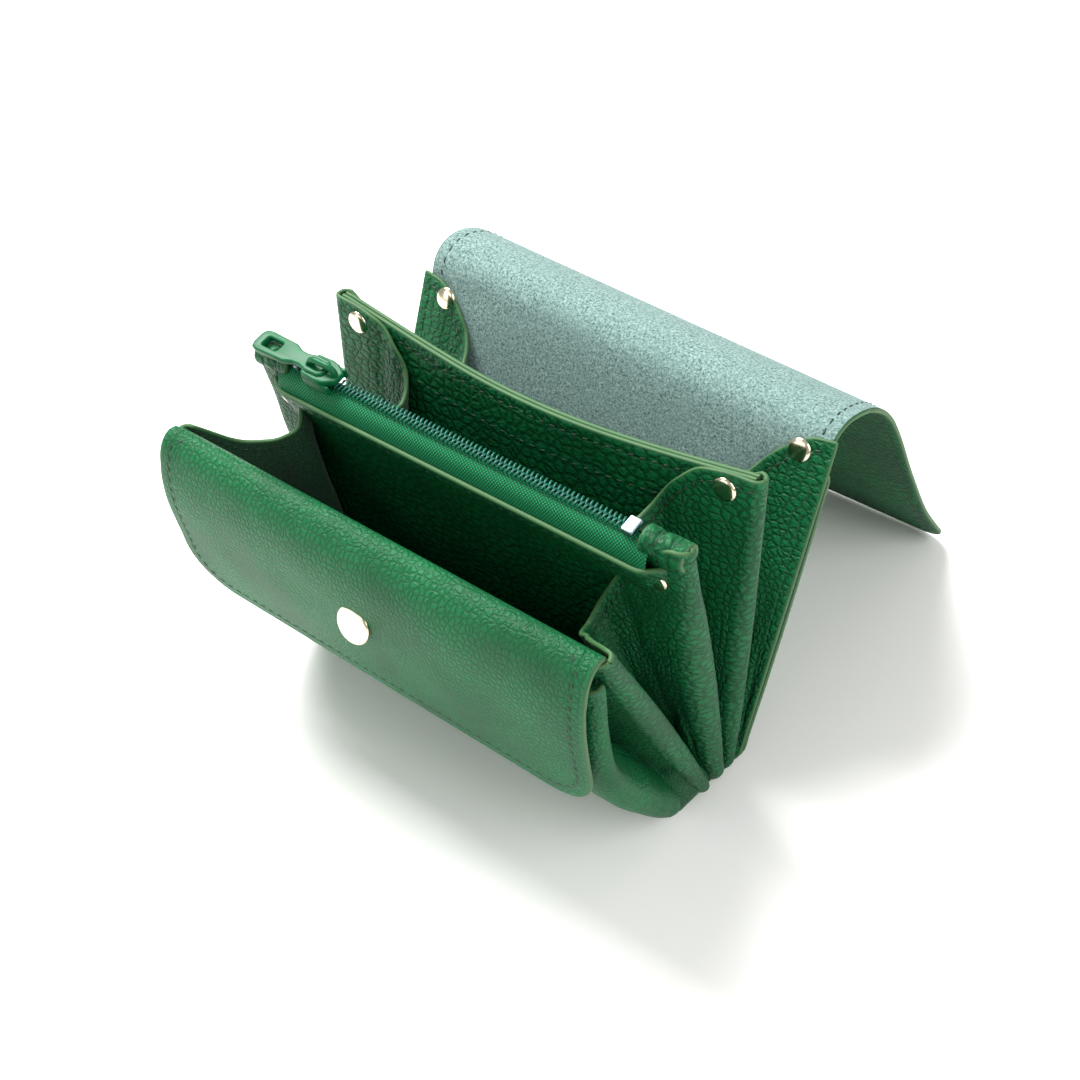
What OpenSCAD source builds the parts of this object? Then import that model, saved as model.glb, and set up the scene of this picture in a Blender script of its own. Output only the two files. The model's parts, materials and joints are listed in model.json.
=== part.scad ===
// Accordion card purse standing open on its bottom fold, with the long main flap thrown back.
// X runs along the purse, -Y is the snap-pocket side, +Y the main-flap side, +Z is up.
// The origin lies on the flat underside of the base fold, at mid-width, below the divider's foot.

/* [Leather] */
// Thickness of one leather layer
leather_t = 1.4; // [1.0:0.1:1.6]
// Half width of the wall panels, without the side bellows
wall_half = 61.5; // [58:0.5:64]
// Half width over the side bellows
bellows_half = 63.8; // [60.5:0.1:67]

/* [Walls] */
// Height of the hinge line of every wall above the table
foot_z = 3; // [3:0.5:4]
// Backward lean of the back panel, in degrees
back_tilt = 17.8; // [16:0.2:19]
// Length of the back panel from its foot to the flap fold
back_len = 95.5; // [92:0.5:98]
// Lean of the divider, in degrees
divider_tilt = -1.4; // [-2:0.2:0]
// Length of the divider from foot to top edge
divider_len = 93.5; // [90:0.5:94]
// How far the divider's top edge sags at mid-width
divider_sag = 5; // [0:0.5:8]
// Lean of the zip pocket, in degrees
zip_tilt = -15.8; // [-16.5:0.2:-15]
// Length of the zip pocket's leather walls
zip_len = 90; // [86:0.5:91]
// Lean of the inner front wall, in degrees
inner_tilt = -30.1; // [-31:0.2:-29.5]
// Length of the inner front wall from foot to flap fold
inner_len = 95.8; // [94:0.2:96.5]

/* [Main flap] */
// Distance between the flap's two fold lines
flap_top_len = 26; // [24:0.5:27]
// Downward slope of the strip between the two folds, in degrees
flap_top_slope = 10; // [8:0.5:12]
// Length of the curved outer part of the flap
flap_len = 109.3; // [104:0.1:109.3]
// Radius of the flap's free corners
flap_corner_r = 9; // [4:0.5:14]

/* [Front pocket] */
// How far the front panel bulges out of its chord
front_bulge = 8; // [6:0.5:8]
// Radius of the front flap's lower corners
front_flap_corner_r = 12; // [6:1:16]
// Radius of the snap cap
snap_r = 4.8; // [4:0.1:6]

/* [Side bellows] */
// How far the valley of each bellows fold reaches in from the side
valley_depth = 27; // [20:1:30]
// Radius of the rivet caps
rivet_r = 3; // [2.5:0.1:3.5]

/* [Zip] */
// Half length of the toothed run
zip_half = 51; // [46:1:52]
// Distance between neighbouring teeth
tooth_pitch = 1.6; // [1.4:0.1:2.4]
// Distance of the closed slider from mid-width
slider_x = -41; // [-42:0.5:-38]

/* [Hidden] */
$fn = 48;

green = "#1f7a4d";
suede = "#8fa8a0";
tape_green = "#10935a";
nickel = "#cfc8b4";

// Feet of the walls along Y
back_y = 6;
divider_y = 1.5;
zip_y = -3;
inner_y = -9;
// Foot and top of the front panel's chord
front_foot = [-17, 2.4];
front_top = [-61.2, 66];
// Small gap left between leather pieces that fold against each other
gap = 0.25;
// Thickness of the thin leather of the zip pocket and of the divider's layers
thin_t = 1.25;
// Half thickness of the zip pocket at its leather walls
pocket_half = 1.8;
// Bellows leather thickness
bellows_t = 1.1;
// Rivet position: in from mid-width, and distances along the walls
rivet_x = 55.5;
rivet_up = [84, 89, 84];
rivet_post_r = 1.2;
// Zip cross-section: tape edge, teeth and slider along the pocket's height
tape_top = 94;
tooth_h = 1.5;
tooth_reach = 2.1;
slider_len = 10;

// Unit vector up a wall that leans by t degrees, as [y, z]
function up(t) = [sin(t), cos(t)];
// Unit vector out of a wall's front face, as [y, z]
function out(t) = [-cos(t), sin(t)];
// Point on a wall's plane, s along it and o in front of it
function on_wall(y, t, s, o = 0) = [y, foot_z] + s * up(t) + o * out(t);
// Points of a path that starts at p and turns evenly from angle a0 to a1 over length l
function bend(p, a0, a1, l, n) = [for (i = 0, q = p; i <= n;
    q = q + (l / n) * [cos(a0 + (a1 - a0) * (i + 0.5) / n), sin(a0 + (a1 - a0) * (i + 0.5) / n)],
    i = i + 1) q];
// Side normal of a path at point i
function side(p, i) = let (a = p[max(i - 1, 0)], b = p[min(i + 1, len(p) - 1)], d = (b - a) / norm(b - a))
    [-d[1], d[0]];
// Closed outline of a strip that is t thick and follows path p
function strip(p, t) = concat([for (i = [0:len(p) - 1]) p[i] + t / 2 * side(p, i)],
    [for (i = [len(p) - 1:-1:0]) p[i] - t / 2 * side(p, i)]);

fold_back = on_wall(back_y, back_tilt, back_len);
fold_front = fold_back + flap_top_len * [cos(flap_top_slope), -sin(flap_top_slope)];
// Downward slope of the flap at its free end
flap_end_slope = 48;
flap_path = bend(fold_front + 0.8 * [cos(60), -sin(60)], -60, -flap_end_slope, flap_len, 12);
fold_inner = on_wall(inner_y, inner_tilt, inner_len);

// Front flap in profile: over the fold, then down the front of the pocket
front_flap_path = concat(bend(fold_inner + [-0.9, -0.1], 186, 264, 12, 6),
    [[-64.9, 71], [-63.9, 64.5], [-62.6, 58], [-60.6, 50], [-57.4, 40]]);

front_chord = norm(front_top - front_foot);
front_dir = (front_top - front_foot) / front_chord;
front_out = [-front_dir[1], front_dir[0]];
function front_point(k) = front_foot + k * front_chord * front_dir + front_bulge * sin(180 * k) * front_out;
front_path = [for (k = [0:0.1:1]) front_point(k)];

// Snap position on the front flap
snap_at = [-63.9, 64.5];
snap_lean = 10;

// Farthest reach of the flap, and the depth of its rounded corners seen in plan
flap_tip_y = flap_path[len(flap_path) - 1][0] + leather_t;
flap_corner_y = flap_corner_r * cos(flap_end_slope);
// Underside of the slider's plate, top of its bridge, height of the pin and length of the pull tab
slider_low = tape_top + tooth_h + 0.25;
bridge_top = slider_low + 3.4;
pin_z = slider_low + 1.9;
tab_len = 22;

// Place and lean of the stud on the front panel, behind the snap
stud_k = 0.965;
stud_at = front_point(stud_k);
stud_run = front_point(stud_k + 0.01) - front_point(stud_k - 0.01);
stud_lean = atan2(-stud_run[0], stud_run[1]);

// Side bellows, per column of the fold
// Share of the valley's depth, and share of the way from the rear face to the front face, per column
fold_in = [0, 0.47, 0.74, 1, 0.7, 0.4, 0];
fold_across = [0, 0, 0.16, 0.5, 0.82, 0.96, 1];
// How far each column's top edge lies below the walls' top
fold_drop = [3, 5, 14, 26, 19, 11, 6];
fold_low = 14;
fold_rows = 6;
fold_cols = len(fold_in);

// Faces of the walls that bound each bay, as [foot y, tilt, distance in front of the foot line]
rear_bay = [[back_y, back_tilt, leather_t / 2 + gap], [divider_y, divider_tilt, -thin_t - gap]];
middle_bay = [[divider_y, divider_tilt, thin_t + gap], [zip_y, zip_tilt, -pocket_half - gap]];
front_bay = [[zip_y, zip_tilt, pocket_half + gap], [inner_y, inner_tilt, -leather_t / 2 - gap]];
snap_bay = [[inner_y, inner_tilt, leather_t / 2 + gap], [-13.5, -36.5, -leather_t / 2 - gap]];

// Stands its children up in the X-Z plane of a wall: local z runs up it, local -y out of its front
module on(y, t) { translate([0, y, foot_z]) rotate([-t, 0, 0]) children(); }

// Extrudes a Y-Z outline along X, from -half to half
module along(half) { rotate([90, 0, 90]) translate([0, 0, -half]) linear_extrude(2 * half) children(); }

// Flat leather panel with its front face at y = -front and its back face t behind that
module panel(front, t, low, high, half = wall_half) {
    translate([-half, -front, low]) cube([2 * half, t, high - low]);
}

// Round holes or posts at both rivet positions of a wall
module at_rivets(s) {
    for (k = [-1, 1]) translate([k * rivet_x, 0, s]) rotate([90, 0, 0]) children();
}

module rivet_cap() {
    rotate_extrude() polygon([[0, 0], [rivet_r, 0], [rivet_r, 0.35], [rivet_r - 0.5, 0.75],
        [rivet_r - 1.4, 1.05], [0, 1.15]]);
}

// Post through a wall, with its flat head at the back; front and back are distances from z = 0
module rivet_post(front, back) {
    translate([0, 0, -back]) cylinder(r = rivet_post_r, h = front + back);
    translate([0, 0, -back - 0.6]) cylinder(r = rivet_r - 0.2, h = 0.6);
}

module back_panel() color(green) difference() {
    on(back_y, back_tilt) panel(leather_t / 2, leather_t, 0.6, back_len - 0.8);
    on(back_y, back_tilt) at_rivets(rivet_up[0]) cylinder(r = rivet_post_r, h = 6, center = true);
}

// Shallow trough under all the walls, with a flat underside
module base_fold() color(green) along(bellows_half - 0.6) polygon([
    [-16.4, 1.1], [-14.6, 0], [5.4, 0], [7.4, 1.2], [8, 2.8], [7.2, 3.3], [5.9, 3.3],
    [5.5, 2.0], [4.4, leather_t], [-13.8, leather_t], [-15.4, 2.2]]);

module rivet_caps_back() color(nickel) on(back_y, back_tilt) at_rivets(rivet_up[0])
    translate([0, 0, leather_t / 2 + 2 * gap + bellows_t]) rivet_cap();

module rivet_posts_back() color(nickel) on(back_y, back_tilt) at_rivets(rivet_up[0])
    rivet_post(leather_t / 2 + 2 * gap + bellows_t, leather_t / 2);

module main_flap_top() color(suede) translate([0, fold_back[0], fold_back[1]])
    rotate([-flap_top_slope, 0, 0]) translate([-wall_half, 0.8, -leather_t / 2])
    cube([2 * wall_half, flap_top_len - 1.6, leather_t]);

// The flap's outline as seen square on, used to round its free corners
module main_flap_front() color(suede) intersection() {
    along(wall_half) polygon(strip(flap_path, leather_t));
    linear_extrude(fold_front[1] + 5) union() {
        translate([-wall_half, fold_front[0] - 5]) square([2 * wall_half, flap_tip_y - flap_corner_y - fold_front[0] + 5]);
        for (k = [-1, 1]) translate([k * (wall_half - flap_corner_r), flap_tip_y - flap_corner_y])
            scale_corner();
        translate([-wall_half + flap_corner_r, fold_front[0]])
            square([2 * (wall_half - flap_corner_r), flap_tip_y - fold_front[0] + 1]);
    }
}
// A quarter-round corner seen in plan, where the leaning flap is foreshortened
module scale_corner() {
    polygon([for (a = [0:15:345]) [flap_corner_r * cos(a), flap_corner_y * sin(a)]]);
}

// Divider layer with a top edge that sags towards mid-width
module divider_layer(front, t) {
    on(divider_y, divider_tilt) difference() {
        translate([0, t - front, 0]) rotate([90, 0, 0]) linear_extrude(t) polygon(concat(
            [[wall_half - 3, 0.6], [wall_half - 3, divider_len]],
            [for (k = [0.9:-0.2:-0.9]) [k * (wall_half - 3), divider_len - divider_sag * (1 - k * k)]],
            [[3 - wall_half, divider_len], [3 - wall_half, 0.6]]));
        at_rivets(rivet_up[1]) cylinder(r = rivet_post_r, h = 8, center = true);
    }
}
module divider_front_layer() color(green) divider_layer(thin_t, thin_t);
module divider_rear_layer() color(green) divider_layer(0, thin_t);

module rivet_caps_divider() color(nickel) on(divider_y, divider_tilt) at_rivets(rivet_up[1])
    translate([0, 0, thin_t + 2 * gap + bellows_t]) rivet_cap();
module rivet_posts_divider() color(nickel) on(divider_y, divider_tilt) at_rivets(rivet_up[1])
    rivet_post(thin_t + 2 * gap + bellows_t, thin_t);

module zip_wall(front) {
    on(zip_y, zip_tilt) difference() {
        panel(front, thin_t, 0.8, zip_len);
        at_rivets(rivet_up[2]) cylinder(r = rivet_post_r, h = 8, center = true);
    }
}
module zip_pocket_front() color(green) zip_wall(pocket_half);
module zip_pocket_rear() color(green) zip_wall(thin_t - pocket_half);

// One tape, folded up between the leather walls; k is 1 at the front and -1 at the back
module zip_tape(k) {
    on(zip_y, zip_tilt) scale([1, k, 1]) panel(pocket_half - thin_t, pocket_half - thin_t - 0.05,
        zip_len - 4, tape_top, zip_half + 3);
}
module zip_tape_front() color(tape_green) zip_tape(1);
module zip_tape_rear() color(tape_green) zip_tape(-1);

// One row of teeth on a spine, as a comb seen from above; shift sets it half a pitch on
module zip_comb(shift) {
    for (x = [shift - zip_half : tooth_pitch : zip_half - tooth_pitch])
        translate([x, -0.15]) square([tooth_pitch * 0.45, 0.75]);
    translate([-zip_half, 0.55]) square([2 * zip_half, tooth_reach - 0.55]);
}
module zip_teeth_front() color("#1c6b5c") on(zip_y, zip_tilt) translate([0, 0, tape_top])
    linear_extrude(tooth_h) mirror([0, 1]) zip_comb(0);
module zip_teeth_rear() color("#1c6b5c") on(zip_y, zip_tilt) translate([0, 0, tape_top])
    linear_extrude(tooth_h) zip_comb(tooth_pitch / 2);

module zip_top_stop() color(nickel) on(zip_y, zip_tilt)
    translate([-zip_half - 1.6, -1.4, tape_top]) cube([1.4, 2.8, 1.2]);
module zip_bottom_stop() color(nickel) on(zip_y, zip_tilt)
    translate([zip_half + 0.2, -2.4, tape_top]) cube([3.6, 4.8, 1.9]);

// Leather end of the zip: a flat roll across the pocket's corner
module end_roll(low, high) {
    on(zip_y, zip_tilt) translate([low, 0, zip_len + 0.1]) rotate([90, 0, 90]) linear_extrude(high - low)
        union() {
            translate([0, 3.2]) circle(r = 2.6);
            translate([-pocket_half, 0]) square([2 * pocket_half, 3.2]);
        }
}
module zip_end_tab_left() color(green) end_roll(-wall_half, -zip_half - 3.2);
module zip_end_tab_right() color(green) end_roll(zip_half + 4, wall_half);

module rivet_caps_zip() color(nickel) on(zip_y, zip_tilt) at_rivets(rivet_up[2])
    translate([0, 0, pocket_half + 2 * gap + bellows_t]) rivet_cap();
module rivet_posts_zip() color(nickel) on(zip_y, zip_tilt) at_rivets(rivet_up[2])
    rivet_post(pocket_half + 2 * gap + bellows_t, pocket_half);

// Slider seen from above: a wide nose that narrows to the closed end
module zip_slider() color(green) on(zip_y, zip_tilt) translate([slider_x, 0, 0]) {
    // top plate and its two side rails
    translate([0, 0, slider_low]) linear_extrude(1) polygon([[-5, -3.4], [-5, 3.4], [2, 3.4], [5, 2.9],
        [5, -2.9], [2, -3.4]]);
    for (k = [-1, 1]) translate([-slider_len / 2, k * 2.9 - 0.5, tape_top + 0.3])
        cube([slider_len, 1, slider_low - tape_top - 0.2]);
    // bridge that holds the pull tab
    difference() {
        translate([-4, -1.1, slider_low + 0.9]) cube([8, 2.2, bridge_top - slider_low - 0.9]);
        translate([-2.6, -2, slider_low + 1]) cube([5.2, 4, 1.7]);
    }
}

// Pull tab with a slot for the bridge and a rectangular hole near its tip
module zip_pull_tab() color(green) on(zip_y, zip_tilt) translate([slider_x, 0, pin_z]) {
    rotate([90, 0, 0]) cylinder(r = 0.6, h = 6.4, center = true);
    difference() {
        translate([-tab_len, -3.2, -0.55]) cube([tab_len, 6.4, 1.1]);
        translate([-6.5, -1.7, -1]) cube([8, 3.4, 2]);
        translate([-tab_len + 3, -1.4, -1]) cube([6, 2.8, 2]);
    }
}

module inner_front_wall() color(green) on(inner_y, inner_tilt)
    panel(leather_t / 2, leather_t, 0.8, inner_len - 0.5);

// Front flap with rounded lower corners
module front_flap() color(green) difference() {
    intersection() {
        along(wall_half + 1) polygon(strip(front_flap_path, leather_t));
        rotate([90, 0, 0]) linear_extrude(200, center = true) union() {
            translate([-wall_half - 1, 39 + front_flap_corner_r]) square([2 * wall_half + 2, 60]);
            for (k = [-1, 1]) translate([k * (wall_half + 1 - front_flap_corner_r), 39 + front_flap_corner_r])
                circle(r = front_flap_corner_r);
            translate([front_flap_corner_r - wall_half - 1, 38])
                square([2 * (wall_half + 1 - front_flap_corner_r), 60]);
        }
    }
    at_snap() cylinder(r = 1, h = 4, center = true);
}

// Local z points out of the flap at the snap
module at_snap() { translate([0, snap_at[0], snap_at[1]]) rotate([90 + snap_lean, 0, 0]) children(); }

module snap_cap() color(nickel) at_snap() {
    translate([0, 0, leather_t / 2 + 0.08]) rotate_extrude()
        polygon([[0, 0], [snap_r, 0], [snap_r, 0.3], [snap_r - 0.6, 0.7], [0, 0.95]]);
    translate([0, 0, -leather_t / 2 - 0.08]) cylinder(r = 0.95, h = leather_t + 0.2);
}
module snap_socket() color(nickel) at_snap() translate([0, 0, -leather_t / 2 - 0.95]) difference() {
    cylinder(r = 3.2, h = 0.85);
    translate([0, 0, -0.1]) cylinder(r = 1.9, h = 0.8);
}

// Front panel, bulging out below the flap
module front_panel() color(green) difference() {
    along(wall_half) polygon(strip(front_path, leather_t));
    at_stud() cylinder(r = 1, h = 8, center = true);
}
// Local z points out of the panel at the stud
module at_stud() { translate([0, stud_at[0], stud_at[1]]) rotate([90 + stud_lean, 0, 0]) children(); }
module snap_stud() color(nickel) at_stud() translate([0, 0, leather_t / 2 + 0.12]) rotate_extrude()
    polygon([[0, 0], [2.6, 0], [2.6, 0.25], [1.4, 0.3], [1.4, 0.55], [0, 0.55]]);
module snap_post() color(nickel) at_stud() {
    translate([0, 0, -leather_t / 2 - 0.57]) cylinder(r = 2.6, h = 0.45);
    translate([0, 0, -leather_t / 2 - 0.12]) cylinder(r = 0.95, h = leather_t + 0.24);
}

// Side bellows. Each bay's fold is a grid: across it from the rear wall's face, in to the valley and out
// to the front wall's face; up it from the base to a top edge that dips at the valley.
// Point k down the grid: r and f are [foot y, tilt, face distance] of the rear and front faces
function fold_point(r, f, high, c, i) = let (
    s = fold_low + (high - fold_drop[c] - fold_low) * i / (fold_rows - 1),
    a = on_wall(r[0], r[1], s, r[2]), b = on_wall(f[0], f[1], s, f[2]),
    q = a + fold_across[c] * (b - a),
    depth = valley_depth * (0.35 + 0.65 * i / (fold_rows - 1)))
    [bellows_half - fold_in[c] * depth, q[0], q[1]];
// Two skins of the grid, bellows_t apart along X and Y, closed round the rim
module fold_solid(r, f, high) {
    face = function (c, i, o) fold_point(r, f, high, c, i) + o * fold_shift(c);
    pts = [for (o = [0, 1]) for (i = [0:fold_rows - 1]) for (c = [0:fold_cols - 1]) face(c, i, o)];
    id = function (o, i, c) (o * fold_rows + i) * fold_cols + c;
    last_c = fold_cols - 1;
    last_i = fold_rows - 1;
    polyhedron(points = pts, faces = concat(
        [for (i = [0:last_i - 1]) for (c = [0:last_c - 1]) each
            [[id(0, i, c), id(0, i, c + 1), id(0, i + 1, c + 1)], [id(0, i, c), id(0, i + 1, c + 1), id(0, i + 1, c)]]],
        [for (i = [0:last_i - 1]) for (c = [0:last_c - 1]) each
            [[id(1, i, c), id(1, i + 1, c + 1), id(1, i, c + 1)], [id(1, i, c), id(1, i + 1, c), id(1, i + 1, c + 1)]]],
        [for (c = [0:last_c - 1]) each
            [[id(0, 0, c), id(1, 0, c), id(1, 0, c + 1)], [id(0, 0, c), id(1, 0, c + 1), id(0, 0, c + 1)]]],
        [for (c = [0:last_c - 1]) each
            [[id(0, last_i, c), id(0, last_i, c + 1), id(1, last_i, c + 1)],
             [id(0, last_i, c), id(1, last_i, c + 1), id(1, last_i, c)]]],
        [for (i = [0:last_i - 1]) each
            [[id(0, i, 0), id(0, i + 1, 0), id(1, i + 1, 0)], [id(0, i, 0), id(1, i + 1, 0), id(1, i, 0)]]],
        [for (i = [0:last_i - 1]) each
            [[id(0, i, last_c), id(1, i, last_c), id(1, i + 1, last_c)],
             [id(0, i, last_c), id(1, i + 1, last_c), id(0, i + 1, last_c)]]]));
}
// Step from the inner skin to the outer one: forward on the rear half, inward at the valley, back on the front half
function fold_shift(c) = c < 3 ? [0.25, -bellows_t, 0] : c == 3 ? [bellows_t * 1.6, 0, 0] : [0.25, bellows_t, 0];

module bellows(bay, high, left) {
    color(green) mirror([left ? 1 : 0, 0, 0]) fold_solid(bay[0], bay[1], high);
}
module pierced(y, t, s) {
    difference() {
        children();
        on(y, t) at_rivets(s) translate([0, 0, -1]) cylinder(r = rivet_post_r + 0.3, h = 5);
    }
}
module rear_gusset(left) { pierced(back_y, back_tilt, rivet_up[0]) bellows(rear_bay, 92, left); }
module middle_gusset(left) { pierced(divider_y, divider_tilt, rivet_up[1]) bellows(middle_bay, 95, left); }
module front_gusset(left) { pierced(zip_y, zip_tilt, rivet_up[2]) bellows(front_bay, 93, left); }
module snap_gusset(left) { bellows(snap_bay, 74, left); }

module gusset_left_rear_bay() { rear_gusset(true); }
module gusset_right_rear_bay() { rear_gusset(false); }
module gusset_left_middle_bay() { middle_gusset(true); }
module gusset_right_middle_bay() { middle_gusset(false); }
module gusset_left_front_bay() { front_gusset(true); }
module gusset_right_front_bay() { front_gusset(false); }
module gusset_left_snap_bay() { snap_gusset(true); }
module gusset_right_snap_bay() { snap_gusset(false); }

back_panel();
base_fold();
rivet_caps_back();
rivet_posts_back();
main_flap_top();
main_flap_front();
divider_front_layer();
divider_rear_layer();
rivet_caps_divider();
rivet_posts_divider();
zip_pocket_front();
zip_pocket_rear();
zip_tape_front();
zip_tape_rear();
zip_teeth_front();
zip_teeth_rear();
zip_top_stop();
zip_bottom_stop();
zip_end_tab_left();
zip_end_tab_right();
rivet_caps_zip();
rivet_posts_zip();
zip_slider();
zip_pull_tab();
inner_front_wall();
front_flap();
snap_cap();
snap_socket();
front_panel();
snap_stud();
snap_post();
gusset_left_rear_bay();
gusset_right_rear_bay();
gusset_left_middle_bay();
gusset_right_middle_bay();
gusset_left_front_bay();
gusset_right_front_bay();
gusset_left_snap_bay();
gusset_right_snap_bay();
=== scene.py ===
import json
import logging
import math
from collections.abc import Iterable, Sequence
from dataclasses import dataclass, field, replace
from enum import Enum

import bmesh
import bpy
import numpy as np
from mathutils import Matrix, Vector, noise
from mathutils.bvhtree import BVHTree
from mathutils.geometry import barycentric_transform


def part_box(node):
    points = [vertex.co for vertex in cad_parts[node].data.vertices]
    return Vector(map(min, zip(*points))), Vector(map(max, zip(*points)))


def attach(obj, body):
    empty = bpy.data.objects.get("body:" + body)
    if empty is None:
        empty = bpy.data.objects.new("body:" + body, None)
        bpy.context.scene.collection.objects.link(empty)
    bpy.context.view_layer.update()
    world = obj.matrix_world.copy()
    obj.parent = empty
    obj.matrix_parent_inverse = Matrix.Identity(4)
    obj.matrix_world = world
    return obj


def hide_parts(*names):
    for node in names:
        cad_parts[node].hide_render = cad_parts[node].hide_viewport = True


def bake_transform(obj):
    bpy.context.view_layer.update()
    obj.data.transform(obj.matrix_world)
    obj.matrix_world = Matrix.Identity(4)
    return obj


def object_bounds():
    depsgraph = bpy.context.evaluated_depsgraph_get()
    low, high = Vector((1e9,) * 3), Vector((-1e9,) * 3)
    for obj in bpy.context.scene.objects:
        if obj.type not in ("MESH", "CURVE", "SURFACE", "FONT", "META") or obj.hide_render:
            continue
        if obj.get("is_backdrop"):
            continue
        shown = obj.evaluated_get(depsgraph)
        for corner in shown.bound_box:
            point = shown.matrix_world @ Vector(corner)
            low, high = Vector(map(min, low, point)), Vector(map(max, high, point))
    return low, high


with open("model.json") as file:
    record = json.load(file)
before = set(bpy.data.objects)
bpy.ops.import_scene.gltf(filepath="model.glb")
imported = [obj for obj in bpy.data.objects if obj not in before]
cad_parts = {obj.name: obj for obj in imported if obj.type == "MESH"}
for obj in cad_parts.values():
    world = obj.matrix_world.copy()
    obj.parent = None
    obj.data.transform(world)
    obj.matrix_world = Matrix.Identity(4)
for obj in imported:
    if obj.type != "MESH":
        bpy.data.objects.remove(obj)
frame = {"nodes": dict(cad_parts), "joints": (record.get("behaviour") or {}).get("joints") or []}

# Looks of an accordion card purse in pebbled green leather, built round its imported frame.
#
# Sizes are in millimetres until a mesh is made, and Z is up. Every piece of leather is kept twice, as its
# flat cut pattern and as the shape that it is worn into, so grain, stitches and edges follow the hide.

log = logging.getLogger("card_purse")

MM = 0.001
# how far a cut edge bulges out, as a share of half the thickness
RIM_BULGE = 0.85
Point2 = tuple[float, float]
Settings = dict[str | int, object]
Links = dict[str | int, bpy.types.NodeSocket]


class Side(Enum):
    """Surfaces of a piece of leather, as material slots."""

    GRAIN = 0
    FLESH = 1
    CUT = 2


class Edge(Enum):
    """Edges of a piece's grid: first and last row, first and last column."""

    FOOT = "foot"
    TOP = "top"
    LEFT = "left"
    RIGHT = "right"


class Hand(Enum):
    """Which end of the purse a piece stands at."""

    LEFT = -1
    RIGHT = 1


# ---------------------------------------------------------------------------
# Curves and small helpers
# ---------------------------------------------------------------------------


def smooth(values: np.ndarray) -> np.ndarray:
    """Clips to 0..1 and eases both ends."""
    t = np.clip(values, 0.0, 1.0)
    return t * t * (3 - 2 * t)


def curve_through(points: Sequence[Sequence[float]], count: int) -> np.ndarray:
    """Points at even steps on a smooth curve through a few given ones.

    Args:
        points: The points that the curve passes, in two or three dimensions.
        count: How many points to return.

    Returns:
        An array of count points.
    """
    p = np.array(points, float)
    t = np.concatenate([[0], np.cumsum(np.linalg.norm(np.diff(p, axis=0), axis=1))])
    slope = np.gradient(p, t, axis=0)
    fine = np.linspace(0, t[-1], count * 8)
    k = np.clip(np.searchsorted(t, fine, side="right") - 1, 0, len(t) - 2)
    h = (t[k + 1] - t[k])[:, None]
    u = ((fine - t[k]) / (t[k + 1] - t[k]))[:, None]
    q = (
        (2 * u**3 - 3 * u**2 + 1) * p[k]
        + (u**3 - 2 * u**2 + u) * h * slope[k]
        + (3 * u**2 - 2 * u**3) * p[k + 1]
        + (u**3 - u**2) * h * slope[k + 1]
    )
    return resampled(q, count)


def resampled(points: np.ndarray, count: int) -> np.ndarray:
    """The same line with count points at even distances."""
    run = lengths(points)
    even = np.linspace(0, run[-1], count)
    return np.stack([np.interp(even, run, points[:, i]) for i in range(points.shape[1])], axis=1)


def lengths(points: np.ndarray) -> np.ndarray:
    """Distance along a line at each of its points."""
    return np.concatenate([[0], np.cumsum(np.linalg.norm(np.diff(points, axis=0), axis=1))])


def inset(points: np.ndarray, by: float) -> np.ndarray:
    """A flat open line moved to its left by a distance, with its corners mitred.

    Args:
        points: Points of the line, in flat pattern coordinates.
        by: Distance to its left.

    Returns:
        The moved points.
    """
    step = np.diff(points, axis=0)
    step /= np.maximum(np.linalg.norm(step, axis=1, keepdims=True), 1e-9)
    left = np.stack([-step[:, 1], step[:, 0]], axis=1)
    mean = np.concatenate([left[:1], left[1:] + left[:-1], left[-1:]])
    mean /= np.maximum(np.linalg.norm(mean, axis=1, keepdims=True), 1e-9)
    own = np.concatenate([left[:1], left])
    return points + mean * (by / np.maximum((mean * own).sum(axis=1, keepdims=True), 0.5))


def wavy(points: np.ndarray, size: float, seed: float) -> np.ndarray:
    """Smooth noise from -1 to 1 at each point, with features of a given size in mm."""
    return np.array([noise.noise(Vector((*p, seed)[:3]) / size + Vector((seed, 0, 0))) for p in points])


# ---------------------------------------------------------------------------
# Finishes
# ---------------------------------------------------------------------------


def linear(colour: str) -> tuple[float, float, float, float]:
    """Linear RGBA of an sRGB hex colour such as #1f7a4d."""
    parts = [int(colour[i : i + 2], 16) / 255 for i in (1, 3, 5)]
    return (*(c / 12.92 if c <= 0.04045 else ((c + 0.055) / 1.055) ** 2.4 for c in parts), 1.0)


def add_node(
    tree: bpy.types.NodeTree,
    kind: str,
    settings: Settings | None = None,
    links: Links | None = None,
) -> bpy.types.Node:
    """Adds one node.

    Args:
        tree: The node tree it goes in.
        kind: The node's type.
        settings: Properties by name, or values of inputs by name or index.
        links: Inputs by name or index, and the outputs that feed them.

    Returns:
        The new node.
    """
    node = tree.nodes.new(kind)
    for key, value in (settings or {}).items():
        if isinstance(key, str) and key in node.bl_rna.properties:
            setattr(node, key, value)
    for key, value in (settings or {}).items():
        if not (isinstance(key, str) and key in node.bl_rna.properties):
            node.inputs[key].default_value = value
    for key, source in (links or {}).items():
        tree.links.new(source, node.inputs[key])
    return node


def fresh(name: str) -> tuple[bpy.types.Material, bpy.types.NodeTree]:
    """A new material and its empty node tree."""
    material = bpy.data.materials.new(name)
    material.use_nodes = True
    material.node_tree.nodes.clear()
    return material, material.node_tree


def hide_coordinates(tree: bpy.types.NodeTree) -> bpy.types.NodeSocket:
    """Place on the flat cut pattern, in metres."""
    return add_node(tree, "ShaderNodeAttribute", {"attribute_name": "hide"}).outputs["Vector"]


def finish_surface(tree: bpy.types.NodeTree, settings: Settings, links: Links) -> None:
    """Adds the shader and the output."""
    shader = add_node(tree, "ShaderNodeBsdfPrincipled", settings, links)
    add_node(tree, "ShaderNodeOutputMaterial", None, {"Surface": shader.outputs[0]})


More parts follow.
